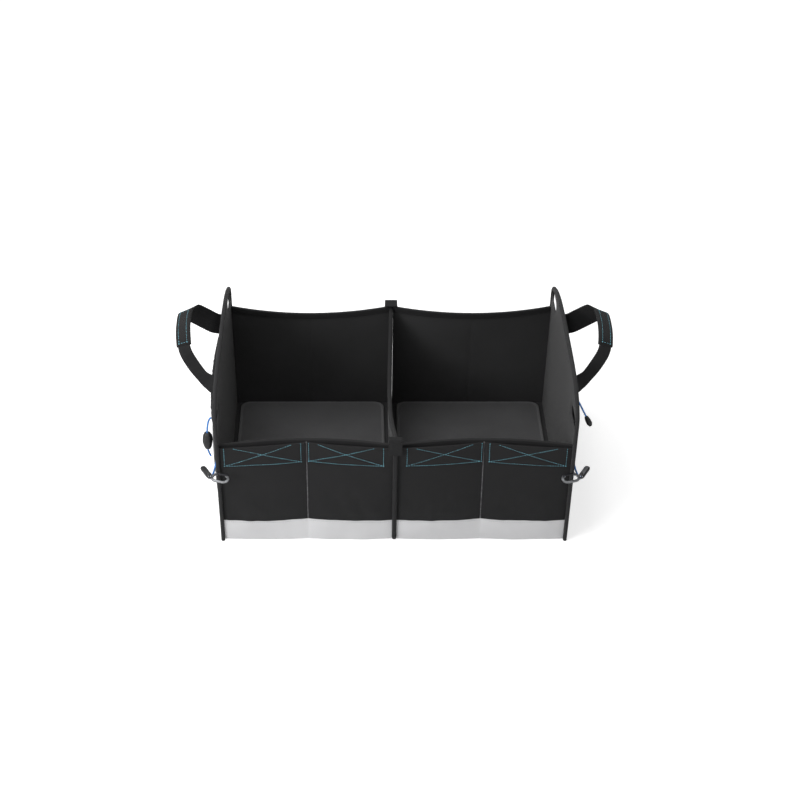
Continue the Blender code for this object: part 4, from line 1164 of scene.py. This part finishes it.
def sew(name, lines, pitch, length, thickness, finish, slot):
    """One mesh of stitches along the given lines of points."""
    guide = add_object(name + "_lines", line_curve(name + "_lines", lines))
    change = guide.modifiers.new("Stitches", "NODES")
    change.node_group = STITCH_TOOL
    values = {"Pitch": pitch, "Length": length, "Thickness": thickness, "Finish": finish}
    for item in STITCH_TOOL.interface.items_tree:
        if item.name in values:
            change[item.identifier] = values[item.name]
    guide.update_tag()
    evaluated = guide.evaluated_get(bpy.context.evaluated_depsgraph_get())
    piece = add_object(name, bpy.data.meshes.new_from_object(evaluated))
    bpy.data.objects.remove(guide, do_unlink=True)
    return stand_for(piece, "root", slot)


STITCH_TOOL = stitch_maker()
BOX_DEPTH = 0.0385
BOX_ABOVE = 0.0045
BOX_SPANS = ((0.066, 0.488), (0.532, 0.962))


def box_lines(side, low_share, high_share):
    """Box with its two diagonals; its top side is hidden above the band's mouth."""
    mouth = FRONT_RIM - MOUTH_DROP
    low, top, seen = mouth - BOX_DEPTH, mouth + BOX_ABOVE, mouth - 0.0008
    lift = POCKET_THICK + CLEAR + TAPE_THICK + STITCH_THICK * 0.15
    corners = (((low_share, top), (low_share, low)), ((low_share, low), (high_share, low)),
               ((high_share, low), (high_share, top)), ((low_share, low), (high_share, top)),
               ((low_share, top), (high_share, low)))
    lines = []
    for start, end in corners:
        spots = [(lerp(start[0], end[0], t), lerp(start[1], end[1], t)) for t in steps(60)]
        lines.append([front_point(side, share, z, lift) for share, z in spots if z <= seen])
    return lines


def grip_lines(side):
    points, widths = handle_stations(side)
    first, last = grip_span(points)
    frames = ribbon_frames(points, widths)[first + 2:last - 1]
    lift = GRIP_THICK * 0.47 + STITCH_THICK * 0.2
    lines = []
    for face in (-1, 1):
        near, far = ([p + w * across + n * lift * face for p, w, n in frames]
                     for across in (-GRIP_SEAM, GRIP_SEAM))
        lines += [near, far]
        lines += [[near[end], far[end]] for end in (0, -1)]
    return lines


def edge_lines(path, half_thick, place):
    """Seam on both sides of an edge's binding, from just above the floor."""
    reach = half_thick + CLEAR + TAPE_THICK + STITCH_LIFT
    spots = inset_path(path, BINDING_DEPTH - BINDING_SEAM)
    return [[Vector((place(y, z) + face * reach, y, z)) for y, z in spots if z > FIRST_STITCH]
            for face in (-1, 1)]


def rim_lines(end, side):
    lines = []
    reach = WALL_THICK / 2 + EDGE_SEAT + STITCH_LIFT
    for face in (-1, 1):
        line = []
        for share in steps(60):
            z = rim_height(end, share) - RIM_TAPE_DEPTH + RIM_SEAM
            x = seam_x(share, z)
            line.append(Vector((side * x, wall_y(end, x / side_x(z), z) + face * reach, z)))
        lines.append(line)
    return lines


def strap_lines(side):
    """Sewn square with a cross at both ends of a handle's strap."""
    skin = side_x(SEWN_HEIGHT) + PANEL_THICK / 2 + CLEAR + STRAP_THICK + STITCH_LIFT
    half = STRAP_WIDTH / 2 - STRAP_SEAM
    lean = FLARE / SIDE_HEIGHT
    lines = []
    for start, direction in ((FRONT_SEWN, 1), (REAR_SEWN, -1)):
        near, far = (start + direction * inset for inset in STRAP_BOX)
        corners = [(near, -half), (far, -half), (far, half), (near, half)]
        pairs = list(zip(corners, corners[1:] + corners[:1]))
        pairs += [(corners[0], corners[2]), (corners[1], corners[3])]
        for a, b in pairs:
            lines.append([Vector((side * (skin + lean * up), depth_y(deep), SEWN_HEIGHT + up))
                          for deep, up in (a, b)])
    return lines


def strip_line(side):
    lift = POCKET_THICK + CLEAR + TAPE_THICK + STITCH_LIFT
    return [front_point(side, share * LAST_SHARE, STRIP_HEIGHT - STRIP_SEAM, lift) for share in steps(80)]


def make_stitches():
    box = [line for side, _ in SIDES for span in BOX_SPANS for line in box_lines(side, *span)]
    grips = [line for side, _ in SIDES for line in grip_lines(side)]
    sew("teal_stitches", box + grips, STITCH_PITCH, STITCH_LENGTH, STITCH_THICK, THREAD_BLUE, "cord_blue")
    dark = edge_lines(divider_path(), DIVIDER_THICK / 2, divider_x)
    for side, _ in SIDES:
        dark += edge_lines(panel_outline(), PANEL_THICK / 2, lambda y, z: side * side_x(z))
        for end in (-1, 1):
            dark += rim_lines(end, side)
        dark += strap_lines(side)
    sew("edge_stitches", dark, FINE_PITCH, FINE_LENGTH, DARK_THICK, THREAD_DARK, "binding_tape")
    pale = [strip_line(side) for side, _ in SIDES]
    sew("strip_stitches", pale, FINE_PITCH, FINE_LENGTH, PALE_THICK, PALE_THREAD_AND_CREASE_HIGHLIGHT, "pale_strip")


# Stage and light

def plain_white(name, glow):
    """White paper whose own glow is seen by the camera only, so that it keeps its shadow."""
    white = Finish(name, (0.82, 0.82, 0.82), 0.9)
    rays = white.add("LightPath", {})
    white.tune({"Specular IOR Level": 0.1, "Emission Color": (1.0, 1.0, 1.0, 1.0),
                "Emission Strength": white.blend("MULTIPLY", rays.outputs["Is Camera Ray"], glow)})
    return white.material


def make_stage():
    shape = bmesh.new()
    shape.loops.layers.uv.new("UVMap")
    corners = [shape.verts.new((x, y, -0.0005)) for x, y in ((-6, -6), (6, -6), (6, 6), (-6, 6))]
    shape.faces.new(corners)
    floor = add_mesh("white_floor", shape, plain_white("white_paper", 0.60))
    world = bpy.data.worlds.new("soft_white")
    bpy.context.scene.world = world
    world.use_nodes = True
    nodes = world.node_tree.nodes
    back = feed(nodes["Background"], {"Color": (1.0, 1.0, 1.0, 1.0), "Strength": 0.42})
    seen = feed(nodes.new("ShaderNodeBackground"), {"Strength": 1.0})
    rays = nodes.new("ShaderNodeLightPath")
    mix = feed(nodes.new("ShaderNodeMixShader"), {
        "Fac": rays.outputs["Is Camera Ray"], 1: back.outputs["Background"], 2: seen.outputs["Background"]})
    feed(nodes["World Output"], {"Surface": mix.outputs["Shader"]})


def area_lamp(name, place, target, size, power):
    data = bpy.data.lights.new(name, "AREA")
    data.shape = "RECTANGLE"
    data.size, data.size_y = size
    data.energy = power
    lamp = add_object(name, data)
    lamp.location = place
    lamp.rotation_euler = (Vector(target) - Vector(place)).to_track_quat("-Z", "Y").to_euler()


def make_lights():
    area_lamp("top_lamp", (-0.75, 0.0, 2.5), (0.0, 0.0, 0.1), (2.4, 1.6), 38.0)
    area_lamp("left_front_lamp", (-1.15, -1.25, 0.85), (0.0, 0.0, 0.10), (0.8, 0.6), 15.0)
    area_lamp("right_lamp", (2.2, -1.2, 1.5), (0.0, 0.0, 0.15), (1.2, 1.0), 1.5)


def make_camera():
    data = bpy.data.cameras.new("camera")
    data.lens = CAMERA_LENS
    data.sensor_width = 36.0
    data.shift_x = CAMERA_SHIFT
    made = add_object("camera", data)
    made.location = CAMERA_PLACE
    made.rotation_euler = (math.pi / 2 - CAMERA_RISE, 0.0, 0.0)
    bpy.context.scene.camera = made
    bpy.context.scene.view_settings.view_transform = "Standard"


def keep_bottom_panel():
    """The bottom panel's own solid stays, in the cloth of the shell."""
    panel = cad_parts["bottom_panel"]
    panel.data.materials.clear()
    panel.data.materials.append(BOTTOM_CLOTH)


BOTTOM_CLOTH = woven_cloth("bottom_cloth", (0.0125, 0.0125, 0.0135), 0.0011, source="Object")

make_walls()
make_rim_bindings()
make_front_pockets()
make_pale_strips()
make_crease_piping()
make_side_panels()
make_panel_bindings()
make_divider()
make_centre_tabs()
make_floor_boards()
make_handles()
make_side_pockets()
make_draw_cords()
make_hooks()
make_stitches()
keep_bottom_panel()
make_stage()
make_lights()
make_camera()
